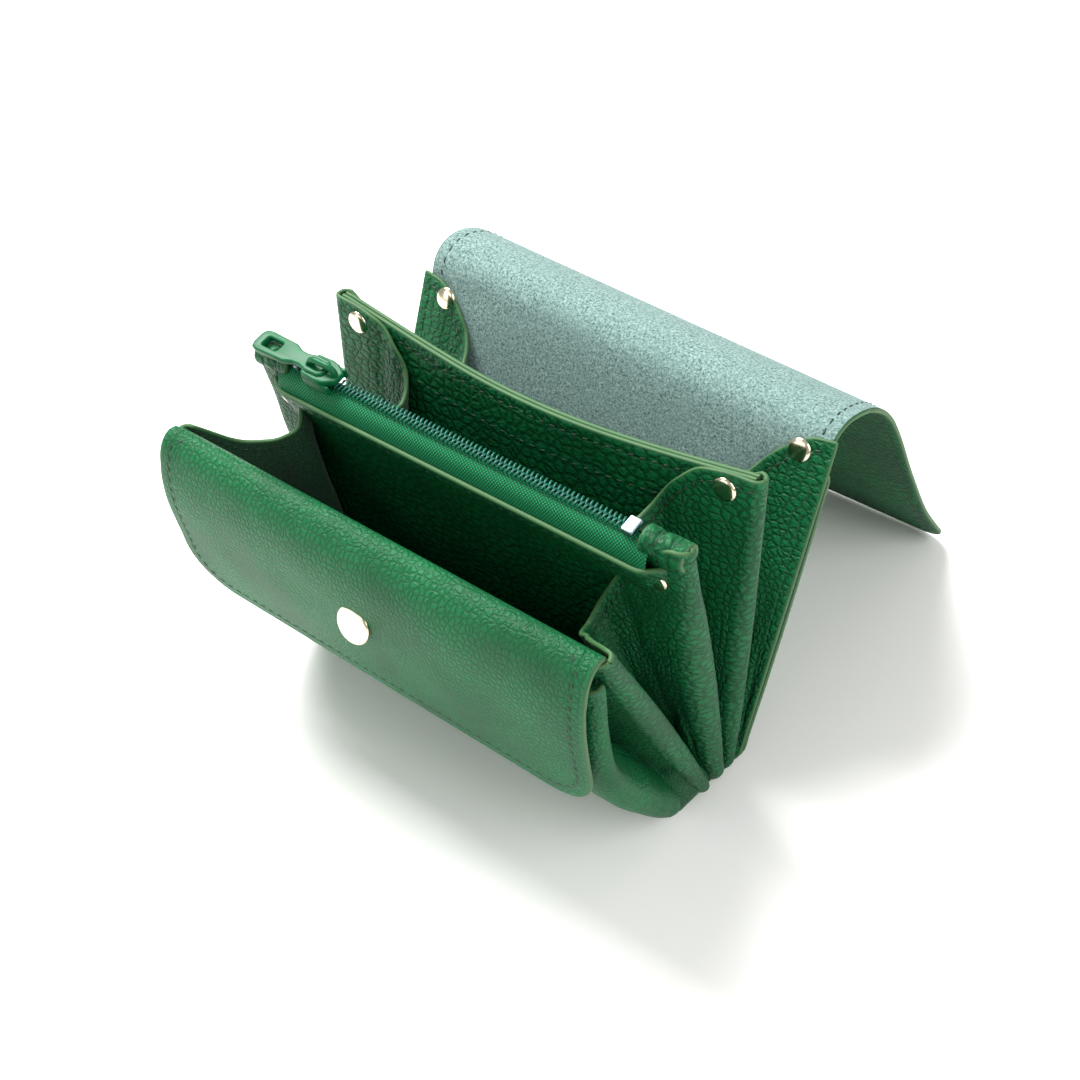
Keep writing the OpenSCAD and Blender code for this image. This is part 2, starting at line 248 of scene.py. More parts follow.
@dataclass(frozen=True)
class PebbledLeather:
    """Milled full-grain cow leather, drum-dyed: soft pebbles with tight creases between them."""

    name: str = "pebbled_leather"
    # pale and dark green: both vary at random in patches; the dark one is also painted shade in the creases
    # and the pale one a painted highlight on the pebble tops
    pale_tone_and_highlight: str = "#0c6b3c"
    deep: str = "#05391d"
    worn: str = "#236f43"
    pebble: float = 2.9
    stretch: float = 1.0
    relief: float = 0.34
    roughness: float = 0.46
    groove: float = 3.0
    striae: float = 0.0
    specular: float = 0.2
    # share of the ground colour kept at the bottom of a crease; the rest there is painted shade
    crease_shade: float = 0.45

    def build(self) -> bpy.types.Material:
        """Cells of pebble size make the grain, a finer set splits them, and pores roughen the tops."""
        material, tree = fresh(self.name)
        place = hide_coordinates(tree)
        # the cells are pulled about a little, as no two pebbles of a milled hide are alike
        drift = add_node(
            tree, "ShaderNodeTexNoise", {"Scale": 1 / (3.5 * MM), "Detail": 2.0}, {"Vector": place}
        )
        pull = add_node(
            tree,
            "ShaderNodeVectorMath",
            {"operation": "SCALE", "Scale": 1.1 * MM},
            {0: drift.outputs["Color"]},
        )
        moved = add_node(
            tree, "ShaderNodeVectorMath", {"operation": "ADD"}, {0: place, 1: pull.outputs[0]}
        )
        shaped = add_node(
            tree,
            "ShaderNodeMapping",
            {"Scale": (1.0, self.stretch, 0.0)},
            {"Vector": moved.outputs[0]},
        )
        creases = self.cells(tree, shaped.outputs[0], self.pebble, 0.34)
        splits = self.cells(tree, shaped.outputs[0], self.pebble * 0.45, 0.4)
        pores = add_node(
            tree, "ShaderNodeTexNoise", {"Scale": 1 / (0.35 * MM), "Detail": 3.0}, {"Vector": place}
        )
        patches = add_node(
            tree, "ShaderNodeTexNoise", {"Scale": 1 / (22 * MM), "Detail": 3.0}, {"Vector": place}
        )
        # softer grain in patches, as the belly of a hide has
        depth = add_node(
            tree,
            "ShaderNodeMapRange",
            {"From Min": 0.35, "From Max": 0.65, "To Min": 0.55, "To Max": 1.0},
            {"Value": patches.outputs["Fac"]},
        )
        strong = add_node(
            tree, "ShaderNodeMath", {"operation": "MULTIPLY"}, {0: creases, 1: depth.outputs[0]}
        ).outputs[0]
        height = self.total(
            tree,
            [
                (strong, self.relief * MM),
                (splits, self.relief * 0.3 * MM),
                (pores.outputs["Fac"], 0.035 * MM),
                (self.seam_groove(tree), -0.25 * MM),
                (self.fold_lines(tree, place), self.striae * MM),
            ],
        )
        bump = add_node(tree, "ShaderNodeBump", {"Strength": 1.0, "Distance": 1.0}, {"Height": height})
        ground = add_node(
            tree,
            "ShaderNodeMix",
            {"data_type": "RGBA", 6: linear(self.deep), 7: linear(self.pale_tone_and_highlight)},
            {0: patches.outputs["Fac"]},
        ).outputs[2]
        # painted shade: the creases between pebbles are darkened towards the dark green
        shade = add_node(
            tree,
            "ShaderNodeMapRange",
            {"From Max": 0.7, "To Min": self.crease_shade, "To Max": 1.0},
            {"Value": strong},
        )
        body = add_node(
            tree,
            "ShaderNodeMix",
            {"data_type": "RGBA", 6: linear(self.deep)},
            {0: shade.outputs[0], 7: ground},
        ).outputs[2]
        # painted highlight: the pebble tops are lightened towards the pale green
        tops = add_node(
            tree,
            "ShaderNodeMapRange",
            {"From Min": 0.5, "From Max": 1.0, "To Min": 0.0, "To Max": 0.55},
            {"Value": strong},
        )
        colour = add_node(
            tree, "ShaderNodeMix", {"data_type": "RGBA", 7: linear(self.pale_tone_and_highlight)}, {0: tops.outputs[0], 6: body}
        ).outputs[2]
        rubbed = add_node(
            tree,
            "ShaderNodeMix",
            {"data_type": "RGBA", 7: linear(self.worn)},
            {0: self.rubbed_edge(tree), 6: colour},
        ).outputs[2]
        gloss = add_node(
            tree,
            "ShaderNodeMapRange",
            {
                "From Min": 0.2,
                "From Max": 0.8,
                "To Min": self.roughness - 0.07,
                "To Max": self.roughness + 0.1,
            },
            {"Value": pores.outputs["Fac"]},
        )
        finish_surface(
            tree,
            {"IOR": 1.5, "Specular IOR Level": self.specular},
            {"Base Color": rubbed, "Roughness": gloss.outputs[0], "Normal": bump.outputs[0]},
        )
        return material

    def cells(
        self, tree: bpy.types.NodeTree, place: bpy.types.NodeSocket, size: float, width: float
    ) -> bpy.types.NodeSocket:
        """Rounded cells: 0 in the creases between them and 1 on their tops.

        Args:
            tree: The node tree.
            place: Texture coordinates in metres.
            size: Cell size in mm.
            width: Width of a crease's slope, as a share of the cell.

        Returns:
            The height's socket.
        """
        edges = add_node(
            tree,
            "ShaderNodeTexVoronoi",
            {"voronoi_dimensions": "2D", "feature": "DISTANCE_TO_EDGE", "Scale": 1 / (size * MM)},
            {"Vector": place},
        )
        return add_node(
            tree,
            "ShaderNodeMapRange",
            {"interpolation_type": "SMOOTHERSTEP", "From Min": 0.0, "From Max": width},
            {"Value": edges.outputs["Distance"]},
        ).outputs[0]

    def fold_lines(self, tree: bpy.types.NodeTree, place: bpy.types.NodeSocket) -> bpy.types.NodeSocket:
        """Fine lines across a ridge, where the grain is squeezed along it."""
        shaped = add_node(
            tree,
            "ShaderNodeMapping",
            {"Scale": (1 / (5.5 * MM), 1 / (1.1 * MM), 0.0)},
            {"Vector": place},
        )
        return add_node(
            tree,
            "ShaderNodeTexNoise",
            {"Scale": 1.0, "Detail": 2.0, "Distortion": 0.5},
            {"Vector": shaped.outputs[0]},
        ).outputs["Fac"]

    def seam_groove(self, tree: bpy.types.NodeTree) -> bpy.types.NodeSocket:
        """1 in the channel that the stitches pull into the leather, 0 elsewhere."""
        rim = add_node(tree, "ShaderNodeAttribute", {"attribute_name": "rim"})
        away = add_node(
            tree, "ShaderNodeMath", {"operation": "SUBTRACT", 1: self.groove * MM}, {0: rim.outputs["Fac"]}
        )
        gap = add_node(tree, "ShaderNodeMath", {"operation": "ABSOLUTE"}, {0: away.outputs[0]})
        return add_node(
            tree,
            "ShaderNodeMapRange",
            {"interpolation_type": "SMOOTHSTEP", "From Min": 0.7 * MM, "From Max": 0.0},
            {"Value": gap.outputs[0]},
        ).outputs[0]

    def rubbed_edge(self, tree: bpy.types.NodeTree) -> bpy.types.NodeSocket:
        """Share of rubbed, paler colour: it fades within a millimetre of a cut edge."""
        rim = add_node(tree, "ShaderNodeAttribute", {"attribute_name": "rim"})
        return add_node(
            tree,
            "ShaderNodeMapRange",
            {"From Min": 0.0, "From Max": 0.9 * MM, "To Min": 0.5, "To Max": 0.0},
            {"Value": rim.outputs["Fac"]},
        ).outputs[0]

    def total(
        self, tree: bpy.types.NodeTree, parts: Iterable[tuple[bpy.types.NodeSocket, float]]
    ) -> bpy.types.NodeSocket:
        """Sum of heights, each times its own weight.

        Args:
            tree: The node tree.
            parts: Sockets of the heights and their weights in metres.

        Returns:
            The sum's socket.
        """
        result = None
        for socket, weight in parts:
            scaled = add_node(
                tree, "ShaderNodeMath", {"operation": "MULTIPLY", 1: weight}, {0: socket}
            ).outputs[0]
            if result is None:
                result = scaled
            else:
                result = add_node(
                    tree, "ShaderNodeMath", {"operation": "ADD"}, {0: result, 1: scaled}
                ).outputs[0]
        return result


@dataclass(frozen=True)
class SuedeFlesh:
    """Flesh side of the same hide: split fibres, grey-green, with light tips and dark pits."""

    name: str = "suede_flesh"
    pale: str = "#95aba7"
    mid: str = "#6c8782"
    dark: str = "#304a46"
    fleck: float = 0.6

    def build(self) -> bpy.types.Material:
        """Flecks are drawn a little coarser than real nap, so that they show."""
        material, tree = fresh(self.name)
        place = hide_coordinates(tree)
        nap = add_node(
            tree,
            "ShaderNodeTexNoise",
            {"Scale": 1 / (self.fleck * MM), "Detail": 4.0, "Roughness": 0.7, "Distortion": 0.6},
            {"Vector": place},
        )
        clouds = add_node(
            tree, "ShaderNodeTexNoise", {"Scale": 1 / (14 * MM), "Detail": 3.0}, {"Vector": place}
        )
        share = add_node(
            tree,
            "ShaderNodeMapRange",
            {"From Min": 0.34, "From Max": 0.64},
            {"Value": nap.outputs["Fac"]},
        )
        flecks = add_node(tree, "ShaderNodeValToRGB", None, {"Fac": share.outputs[0]})
        ramp = flecks.color_ramp
        ramp.elements[0].color = linear(self.dark)
        ramp.elements[1].color = linear(self.pale)
        ramp.elements.new(0.5).color = linear(self.mid)
        shade = add_node(
            tree,
            "ShaderNodeMapRange",
            {"From Min": 0.4, "From Max": 0.75, "To Min": 0.0, "To Max": 0.4},
            {"Value": clouds.outputs["Fac"]},
        )
        colour = add_node(
            tree,
            "ShaderNodeMix",
            {"data_type": "RGBA", 7: linear(self.mid)},
            {0: shade.outputs[0], 6: flecks.outputs[0]},
        ).outputs[2]
        bump = add_node(
            tree, "ShaderNodeBump", {"Strength": 0.8, "Distance": 0.22 * MM}, {"Height": nap.outputs["Fac"]}
        )
        finish_surface(
            tree,
            {"Roughness": 0.95, "IOR": 1.45, "Specular IOR Level": 0.2, "Sheen Weight": 0.1},
            {"Base Color": colour, "Normal": bump.outputs[0]},
        )
        return material


@dataclass(frozen=True)
class CutEdge:
    """Cut edge, dyed and rubbed smooth: paler green core with darker skins and short fibres."""

    name: str = "burnished_edge"
    core: str = "#3d6634"
    skin: str = "#174a2b"
    fibre: float = 0.5

    def build(self) -> bpy.types.Material:
        """The core shows in patches, as dye takes unevenly on end fibres."""
        material, tree = fresh(self.name)
        place = hide_coordinates(tree)
        fibres = add_node(
            tree, "ShaderNodeTexNoise", {"Scale": 1 / (self.fibre * MM), "Detail": 3.0}, {"Vector": place}
        )
        patches = add_node(
            tree, "ShaderNodeTexNoise", {"Scale": 1 / (5 * MM), "Detail": 2.0}, {"Vector": place}
        )
        depth = add_node(tree, "ShaderNodeSeparateXYZ", None, {0: place})
        skin = add_node(tree, "ShaderNodeMath", {"operation": "ABSOLUTE"}, {0: depth.outputs[2]})
        near = add_node(
            tree,
            "ShaderNodeMapRange",
            {"interpolation_type": "SMOOTHSTEP", "From Min": 0.35 * MM, "From Max": 0.7 * MM},
            {"Value": skin.outputs[0]},
        )
        dyed = add_node(
            tree,
            "ShaderNodeMix",
            {"data_type": "RGBA", 6: linear(self.core), 7: linear(self.skin)},
            {0: patches.outputs["Fac"]},
        ).outputs[2]
        inner = add_node(
            tree, "ShaderNodeMix", {"data_type": "RGBA", 0: 0.45, 7: linear(self.core)}, {6: dyed}
        ).outputs[2]
        colour = add_node(
            tree, "ShaderNodeMix", {"data_type": "RGBA", 7: linear(self.skin)}, {0: near.outputs[0], 6: inner}
        ).outputs[2]
        bump = add_node(
            tree,
            "ShaderNodeBump",
            {"Strength": 0.6, "Distance": 0.12 * MM},
            {"Height": fibres.outputs["Fac"]},
        )
        finish_surface(
            tree, {"Roughness": 0.6, "IOR": 1.5}, {"Base Color": colour, "Normal": bump.outputs[0]}
        )
        return material


@dataclass(frozen=True)
class WaxedThread:
    """Twisted, waxed polyester thread in dark green."""

    name: str = "waxed_thread"
    light: str = "#1d4029"
    dark: str = "#0a2413"
    twist: float = 0.35

    def build(self) -> bpy.types.Material:
        """Diagonal bands of the plies, from the object's own coordinates."""
        material, tree = fresh(self.name)
        place = add_node(tree, "ShaderNodeTexCoord").outputs["Object"]
        plies = add_node(
            tree,
            "ShaderNodeTexWave",
            {"bands_direction": "DIAGONAL", "Scale": 0.3 / (self.twist * MM), "Distortion": 1.0},
            {"Vector": place},
        )
        colour = add_node(
            tree,
            "ShaderNodeMix",
            {"data_type": "RGBA", 6: linear(self.dark), 7: linear(self.light)},
            {0: plies.outputs["Fac"]},
        ).outputs[2]
        bump = add_node(
            tree, "ShaderNodeBump", {"Strength": 0.5, "Distance": 0.06 * MM}, {"Height": plies.outputs["Fac"]}
        )
        finish_surface(
            tree, {"Roughness": 0.5, "IOR": 1.5}, {"Base Color": colour, "Normal": bump.outputs[0]}
        )
        return material


@dataclass(frozen=True)
class WovenTape:
    """Zip tape: plain-woven polyester with a fine herringbone, bright green and slightly glossy."""

    name: str = "woven_zip_tape"
    light: str = "#0a9259"
    dark: str = "#034a2c"
    pitch: float = 0.62

    def build(self) -> bpy.types.Material:
        """Two crossed sets of threads at the tape's own pitch."""
        material, tree = fresh(self.name)
        place = hide_coordinates(tree)
        turned = add_node(
            tree, "ShaderNodeMapping", {"Rotation": (0.0, 0.0, math.radians(35))}, {"Vector": place}
        )
        sets = [
            add_node(
                tree,
                "ShaderNodeTexWave",
                {"bands_direction": direction, "Scale": 0.314 / (self.pitch * MM), "Distortion": 0.3},
                {"Vector": turned.outputs[0]},
            ).outputs["Fac"]
            for direction in ("X", "Y")
        ]
        weave = add_node(tree, "ShaderNodeMath", {"operation": "MULTIPLY"}, {0: sets[0], 1: sets[1]})
        spread = add_node(
            tree,
            "ShaderNodeMapRange",
            {"From Min": 0.0, "From Max": 0.7},
            {"Value": weave.outputs[0]},
        )
        colour = add_node(
            tree,
            "ShaderNodeMix",
            {"data_type": "RGBA", 6: linear(self.dark), 7: linear(self.light)},
            {0: spread.outputs[0]},
        ).outputs[2]
        bump = add_node(
            tree, "ShaderNodeBump", {"Strength": 1.0, "Distance": 0.14 * MM}, {"Height": spread.outputs[0]}
        )
        finish_surface(
            tree,
            {"Roughness": 0.6, "IOR": 1.5, "Specular IOR Level": 0.25},
            {"Base Color": colour, "Normal": bump.outputs[0]},
        )
        return material


@dataclass(frozen=True)
class Moulded:
    """Drawn or cast part with an even coat: polyamide zip coil, painted zinc or plated brass."""

    name: str
    base: str
    shade: str
    roughness: float
    metallic: float = 0.0
    grit: float = 0.6
    specular: float = 0.5

    def build(self) -> bpy.types.Material:
        """Faint cloudiness in colour and gloss, and orange-peel bumps of grit size."""
        material, tree = fresh(self.name)
        place = add_node(tree, "ShaderNodeTexCoord").outputs["Object"]
        clouds = add_node(
            tree, "ShaderNodeTexNoise", {"Scale": 1 / (3 * MM), "Detail": 3.0}, {"Vector": place}
        )
        peel = add_node(
            tree, "ShaderNodeTexNoise", {"Scale": 1 / (self.grit * MM), "Detail": 2.0}, {"Vector": place}
        )
        colour = add_node(
            tree,
            "ShaderNodeMix",
            {"data_type": "RGBA", 6: linear(self.shade), 7: linear(self.base)},
            {0: clouds.outputs["Fac"]},
        ).outputs[2]
        gloss = add_node(
            tree,
            "ShaderNodeMapRange",
            {"To Min": self.roughness * 0.8, "To Max": self.roughness * 1.25},
            {"Value": clouds.outputs["Fac"]},
        )
        bump = add_node(
            tree, "ShaderNodeBump", {"Strength": 0.25, "Distance": 0.03 * MM}, {"Height": peel.outputs["Fac"]}
        )
        finish_surface(
            tree,
            {"Metallic": self.metallic, "Specular IOR Level": self.specular},
            {"Base Color": colour, "Roughness": gloss.outputs[0], "Normal": bump.outputs[0]},
        )
        return material


class Palette:
    """Every finish of the purse, built once."""

    def __init__(self) -> None:
        """Builds the materials."""
        self.leather = PebbledLeather().build()
        self.panel = PebbledLeather(
            name="pebbled_leather_panel", pebble=1.45, relief=0.18, striae=0.12, crease_shade=0.7
        ).build()
        self.bellows = PebbledLeather(
            name="pebbled_leather_bellows", pebble=2.5, stretch=1.3, groove=2.6, relief=0.28, striae=0.2
        ).build()
        self.suede = SuedeFlesh().build()
        self.lining = SuedeFlesh(
            name="flesh_of_bellows", pale="#2c5a3f", mid="#1a4129", dark="#0c2718"
        ).build()
        self.cut = CutEdge().build()
        self.thread = WaxedThread().build()
        self.tape = WovenTape().build()
        # drawn polyamide monofilament: smooth and fairly glossy
        self.coil = Moulded("polyamide_coil", "#17705b", "#0b4338", 0.3, specular=0.4).build()
        # zinc casting under green enamel
        self.enamel = Moulded("enamelled_zinc", "#0b6a3e", "#064628", 0.38, specular=0.2).build()
        # pressed aluminium: dull and bluish
        self.clip = Moulded("pressed_aluminium", "#8fa3a8", "#6d8288", 0.38, metallic=1.0).build()
        # brass plated with pale nickel
        self.nickel = Moulded("pale_nickel", "#e9dfc8", "#d3c5a6", 0.16, metallic=1.0).build()


# ---------------------------------------------------------------------------
# Leather pieces
# ---------------------------------------------------------------------------


@dataclass
class Hide:
    """One cut piece, flat and shaped. Both are grids of points in mm, rows first.

    The grain side is on the side of columns cross rows, or on the other one where flipped is true. Edges in
    joined meet a neighbour and get no rounded rim. The weights run from 0 at the first of two bodies to 1 at
    the second; they are stored on the mesh and taken off again by follow.
    """

    name: str
    flat: np.ndarray
    shaped: np.ndarray
    thickness: float
    flipped: bool = False
    joined: frozenset[Edge] = frozenset()
    weights: np.ndarray | None = None
    lookup: BVHTree | None = field(default=None, repr=False)

    def normals(self) -> np.ndarray:
        """Unit normals on the grain side."""
        n = facing(self.shaped) * (-1 if self.flipped else 1)
        # carried on to a joined edge, so that two pieces meet there without a gap
        if Edge.LEFT in self.joined:
            n[:, 0] = 2 * n[:, 0] - n[:, 1]
        if Edge.RIGHT in self.joined:
            n[:, -1] = 2 * n[:, -1] - n[:, -2]
        return n / np.maximum(np.linalg.norm(n, axis=2, keepdims=True), 1e-12)

    def cells(self) -> np.ndarray:
        """Corners of each cell of the grid, as four point numbers."""
        rows, cols = self.flat.shape[:2]
        index = np.arange(rows * cols).reshape(rows, cols)
        corners = [index[:-1, :-1], index[:-1, 1:], index[1:, 1:], index[1:, :-1]]
        return np.stack(corners, axis=-1).reshape(-1, 4)

    def border(self) -> list[tuple[int, int]]:
        """Grid places round the outline, once round."""
        rows, cols = self.flat.shape[:2]
        return (
            [(0, c) for c in range(cols)]
            + [(r, cols - 1) for r in range(1, rows)]
            + [(rows - 1, c) for c in range(cols - 2, -1, -1)]
            + [(r, 0) for r in range(rows - 2, 0, -1)]
        )

    def edges_at(self, r: int, c: int) -> set[Edge]:
        """The edges that a grid place lies on."""
        rows, cols = self.flat.shape[:2]
        tests = {Edge.FOOT: r == 0, Edge.TOP: r == rows - 1, Edge.LEFT: c == 0, Edge.RIGHT: c == cols - 1}
        return {edge for edge, on in tests.items() if on}

    def outward(self, ring: list[tuple[int, int]]) -> np.ndarray:
        """Unit directions out of the outline, in the plane of the leather.

        Args:
            ring: Grid places round the outline.

        Returns:
            One direction for each place, zero on joined edges.
        """
        p = self.shaped
        step = {
            Edge.FOOT: lambda r, c: p[0, c] - p[1, c],
            Edge.TOP: lambda r, c: p[-1, c] - p[-2, c],
            Edge.LEFT: lambda r, c: p[r, 0] - p[r, 1],
            Edge.RIGHT: lambda r, c: p[r, -1] - p[r, -2],
        }
        result = np.zeros((len(ring), 3))
        for i, (r, c) in enumerate(ring):
            edges = self.edges_at(r, c)
            if edges & self.joined:
                continue
            d = sum((step[e](r, c) / max(np.linalg.norm(step[e](r, c)), 1e-9) for e in edges), np.zeros(3))
            if len(edges) == 1:
                a, b = ring[i - 1], ring[(i + 1) % len(ring)]
                t = p[b] - p[a]
                t /= max(np.linalg.norm(t), 1e-9)
                d = d - t * (d @ t)
            result[i] = d / max(np.linalg.norm(d), 1e-9)
        return result

    def rim_distance(self) -> np.ndarray:
        """Distance on the flat pattern from each point to the nearest cut edge."""
        ring = self.border()
        pts = np.array([self.flat[rc] for rc in ring])
        nxt = np.roll(pts, -1, axis=0)
        keep = [not (self.edges_at(*rc) & self.joined) for rc in ring]
        a, b = pts[keep], nxt[keep]
        d = b - a
        size = np.maximum((d * d).sum(axis=1), 1e-12)
        best = np.full(self.flat.shape[0] * self.flat.shape[1], 1e9)
        q = self.flat.reshape(-1, 2)
        for start, way, square in zip(a, d, size, strict=True):
            t = np.clip(((q - start) @ way) / square, 0, 1)
            best = np.minimum(best, np.hypot(*(q - start - t[:, None] * way).T))
        return best.reshape(self.flat.shape[:2])

    def build(
        self, grain: bpy.types.Material, flesh: bpy.types.Material, cut: bpy.types.Material
    ) -> bpy.types.Object:
        """Makes the mesh: two skins and a rounded edge between them.

        Args:
            grain: Material of the grain side.
            flesh: Material of the flesh side.
            cut: Material of the cut edge.

        Returns:
            The new object.
        """
        rows, cols = self.flat.shape[:2]
        width, length = np.ptp(self.flat, axis=(0, 1))
        log.info("%s: sheet %.0f x %.0f mm flat", self.name, width, length)
        half = self.thickness / 2
        n = self.normals()
        ring = self.border()
        out = self.outward(ring)
        base = np.array([self.shaped[rc] for rc in ring])
        side = np.array([n[rc] for rc in ring])
        flat_ring = np.array([self.flat[rc] for rc in ring])
        rim = self.rim_distance()
        rim_ring = np.array([rim[rc] for rc in ring])
        places = [(self.shaped + n * half).reshape(-1, 3), (self.shaped - n * half).reshape(-1, 3)]
        flats = [np.c_[self.flat.reshape(-1, 2), np.full(rows * cols, k * half)] for k in (1, -1)]
        rims = [rim.reshape(-1)] * 2
        turns = [math.radians(a) for a in (60, 30, 0, -30, -60)]
        for a in turns:
            places.append(base + side * half * math.sin(a) + out * half * RIM_BULGE * math.cos(a))
            flats.append(np.c_[flat_ring, np.full(len(ring), half * math.sin(a))])
            rims.append(rim_ring * 0)
        count = rows * cols
        index = np.arange(count).reshape(rows, cols)
        quads = self.cells()
        flip = self.flipped
        faces = [tuple(q[::-1]) if flip else tuple(q) for q in quads]
        sides = [Side.GRAIN.value] * len(faces)
        faces += [tuple(q + count) if flip else tuple(q[::-1] + count) for q in quads]
        sides += [Side.FLESH.value] * len(quads)
        rings = [[index[rc] for rc in ring]]
        rings += [[2 * count + k * len(ring) + i for i in range(len(ring))] for k in range(len(turns))]
        rings += [[index[rc] + count for rc in ring]]
        for upper, lower in zip(rings[:-1], rings[1:], strict=True):
            for i in range(len(ring)):
                j = (i + 1) % len(ring)
                quad = (upper[j], upper[i], lower[i], lower[j])
                faces.append(quad[::-1] if flip else quad)
                sides.append(Side.CUT.value)
        obj = make_mesh(self.name, np.concatenate(places), faces)
        for material in (grain, flesh, cut):
            obj.data.materials.append(material)
        obj.data.polygons.foreach_set("material_index", sides)
        obj.data.set_sharp_from_angle(angle=math.radians(50))
        hide = obj.data.attributes.new("hide", "FLOAT_VECTOR", "POINT")
        hide.data.foreach_set("vector", (np.concatenate(flats) * MM).astype(np.float32).ravel())
        rim_data = obj.data.attributes.new("rim", "FLOAT", "POINT")
        rim_data.data.foreach_set("value", (np.concatenate(rims) * MM).astype(np.float32))
        if self.weights is not None:
            ring_weights = np.array([self.weights[rc] for rc in ring])
            obj["blend_weights"] = np.concatenate(
                [self.weights.ravel()] * 2 + [ring_weights] * len(turns)
            ).tolist()
        return obj

    def find(self, points: np.ndarray) -> tuple[np.ndarray, np.ndarray, np.ndarray]:
        """Looks up places of the flat pattern on the shaped piece.

        Args:
            points: Flat points, in mm.

        Returns:
            Their points and grain-side normals on the mid-surface, and their blend weights.
        """
        rows, cols = self.flat.shape[:2]
        tris = [t for q in self.cells() for t in ((q[0], q[1], q[2]), (q[0], q[2], q[3]))]
        flat = [Vector((*p, 0.0)) for p in self.flat.reshape(-1, 2)]
        if self.lookup is None:
            self.lookup = BVHTree.FromPolygons(flat, tris)
        shaped = [Vector(p) for p in self.shaped.reshape(-1, 3)]
        normal = [Vector(p) for p in self.normals().reshape(-1, 3)]
        weight = self.weights.ravel() if self.weights is not None else np.zeros(rows * cols)
        found, sides, shares = [], [], []
        for x, y in points:
            hit, _, i, _ = self.lookup.find_nearest(Vector((x, y, 0)))
            a, b, c = tris[i]
            corner = (flat[a], flat[b], flat[c])
            found.append(barycentric_transform(hit, *corner, shaped[a], shaped[b], shaped[c]))
            sides.append(barycentric_transform(hit, *corner, normal[a], normal[b], normal[c]).normalized())
            # a thin triangle whose X is the weight, as a flat one could not be read
            marks = (
                Vector((weight[a], 0, 0)),
                Vector((weight[b], 1e-3, 0)),
                Vector((weight[c], 2e-3, 1e-3)),
            )
            shares.append(barycentric_transform(hit, *corner, *marks).x)
        return np.array(found), np.array(sides), np.clip(np.array(shares), 0, 1)


def facing(points: np.ndarray) -> np.ndarray:
    """Unit normals of a grid of points, on the side of columns cross rows."""
    n = np.cross(np.gradient(points, axis=1), np.gradient(points, axis=0))
    return n / np.maximum(np.linalg.norm(n, axis=2, keepdims=True), 1e-12)


def make_mesh(name: str, points: np.ndarray, faces: Sequence[Sequence[int]]) -> bpy.types.Object:
    """Makes a smooth-shaded mesh object.

    Args:
        name: The new piece's name.
        points: Its points in mm.
        faces: Point numbers of each face.

    Returns:
        The new object.
    """
    mesh = bpy.data.meshes.new(name)
    mesh.from_pydata((points * MM).tolist(), [], [tuple(int(i) for i in f) for f in faces])
    mesh.polygons.foreach_set("use_smooth", [True] * len(mesh.polygons))
    mesh.update()
    obj = bpy.data.objects.new(name, mesh)
    bpy.context.scene.collection.objects.link(obj)
    return obj


@dataclass(frozen=True)
class Seam:
    """A run of hand stitches: lengths in mm."""

    pitch: float = 3.1
    stitch: float = 2.3
    thread: float = 0.3
    slant: float = 7.0
    sides: tuple[int, ...] = (1, -1)
    rings: int = 7
    around: int = 6

    def sew(self, name: str, hide: Hide, line: np.ndarray) -> bpy.types.Object:
        """Sews along a line of the flat pattern, on one or both sides.

        Args:
            name: The new piece's name.
            hide: The piece of leather.
            line: Points of the line on its flat pattern.

        Returns:
            One object that holds all the stitches.
        """
        run = lengths(line)[-1]
        count = max(int(run / self.pitch), 1)
        # six steps to a stitch, whose middle is the third of them
        fine = resampled(line, count * 6 + 1)
        places, sides, shares = hide.find(fine)
        points, faces, weights = [], [], []
        for k in range(count):
            i = k * 6 + 3
            along = places[i + 2] - places[i - 2]
            along /= max(np.linalg.norm(along), 1e-9)
            for face in self.sides:
                up = sides[i] * face
                across = np.cross(up, along)
                turn = math.radians(self.slant)
                way = along * math.cos(turn) + across * math.sin(turn)
                centre = places[i] + up * (hide.thickness / 2 - self.thread * 0.25)
                start = len(points)
                points += self.thread_loop(centre, way, up)
                faces += self.loop_faces(start)
                weights += [shares[i]] * (len(points) - start)
        obj = make_mesh(name, np.array(points), faces)
        if hide.weights is not None:
            obj["blend_weights"] = [float(w) for w in weights]
        return obj

    def thread_loop(self, centre: np.ndarray, way: np.ndarray, up: np.ndarray) -> list[np.ndarray]:
        """Points of one stitch: a short thick thread whose ends dip into their holes.

        Args:
            centre: Its middle, in mm.
            way: Unit direction along it.
            up: Unit direction out of the leather.

        Returns:
            The points of its rings, from one end to the other.
        """
        across = np.cross(up, way)
        result = []
        for j in range(self.rings):
            t = j / (self.rings // 2) - 1
            size = self.thread * math.sqrt(max(1 - 0.8 * t**4, 0.05))
            middle = centre + way * (t * self.stitch / 2) - up * (self.thread * 1.3 * t**4)
            for m in range(self.around):
                a = math.tau * m / self.around
                result.append(middle + across * (size * math.cos(a)) + up * (size * math.sin(a)))
        return result

    def loop_faces(self, start: int) -> list[tuple[int, ...]]:
        """Faces of one stitch, which starts at a given point number."""
        n = self.around
        last = start + (self.rings - 1) * n
        result = [tuple(start + m for m in range(n - 1, -1, -1)), tuple(last + m for m in range(n))]
        for j in range(self.rings - 1):
            for m in range(n):
                a, b = start + j * n + m, start + j * n + (m + 1) % n
                result.append((a, b, b + n, a + n))
        return result


def follow(obj: bpy.types.Object, first: str, second: str) -> None:
    """Drops the blend weights that a piece was built with and bakes its place into its mesh; the piece does
    not bend.

    Args:
        obj: The piece.
        first: Body for weight 0; not used.
        second: Body for weight 1; not used.
    """
    del obj["blend_weights"]
    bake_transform(obj)


def dress(obj: bpy.types.Object, material: bpy.types.Material) -> bpy.types.Object:
    """Gives a piece one material."""
    obj.data.materials.clear()
    obj.data.materials.append(material)
    return obj


# ---------------------------------------------------------------------------
# The frame's walls
# ---------------------------------------------------------------------------


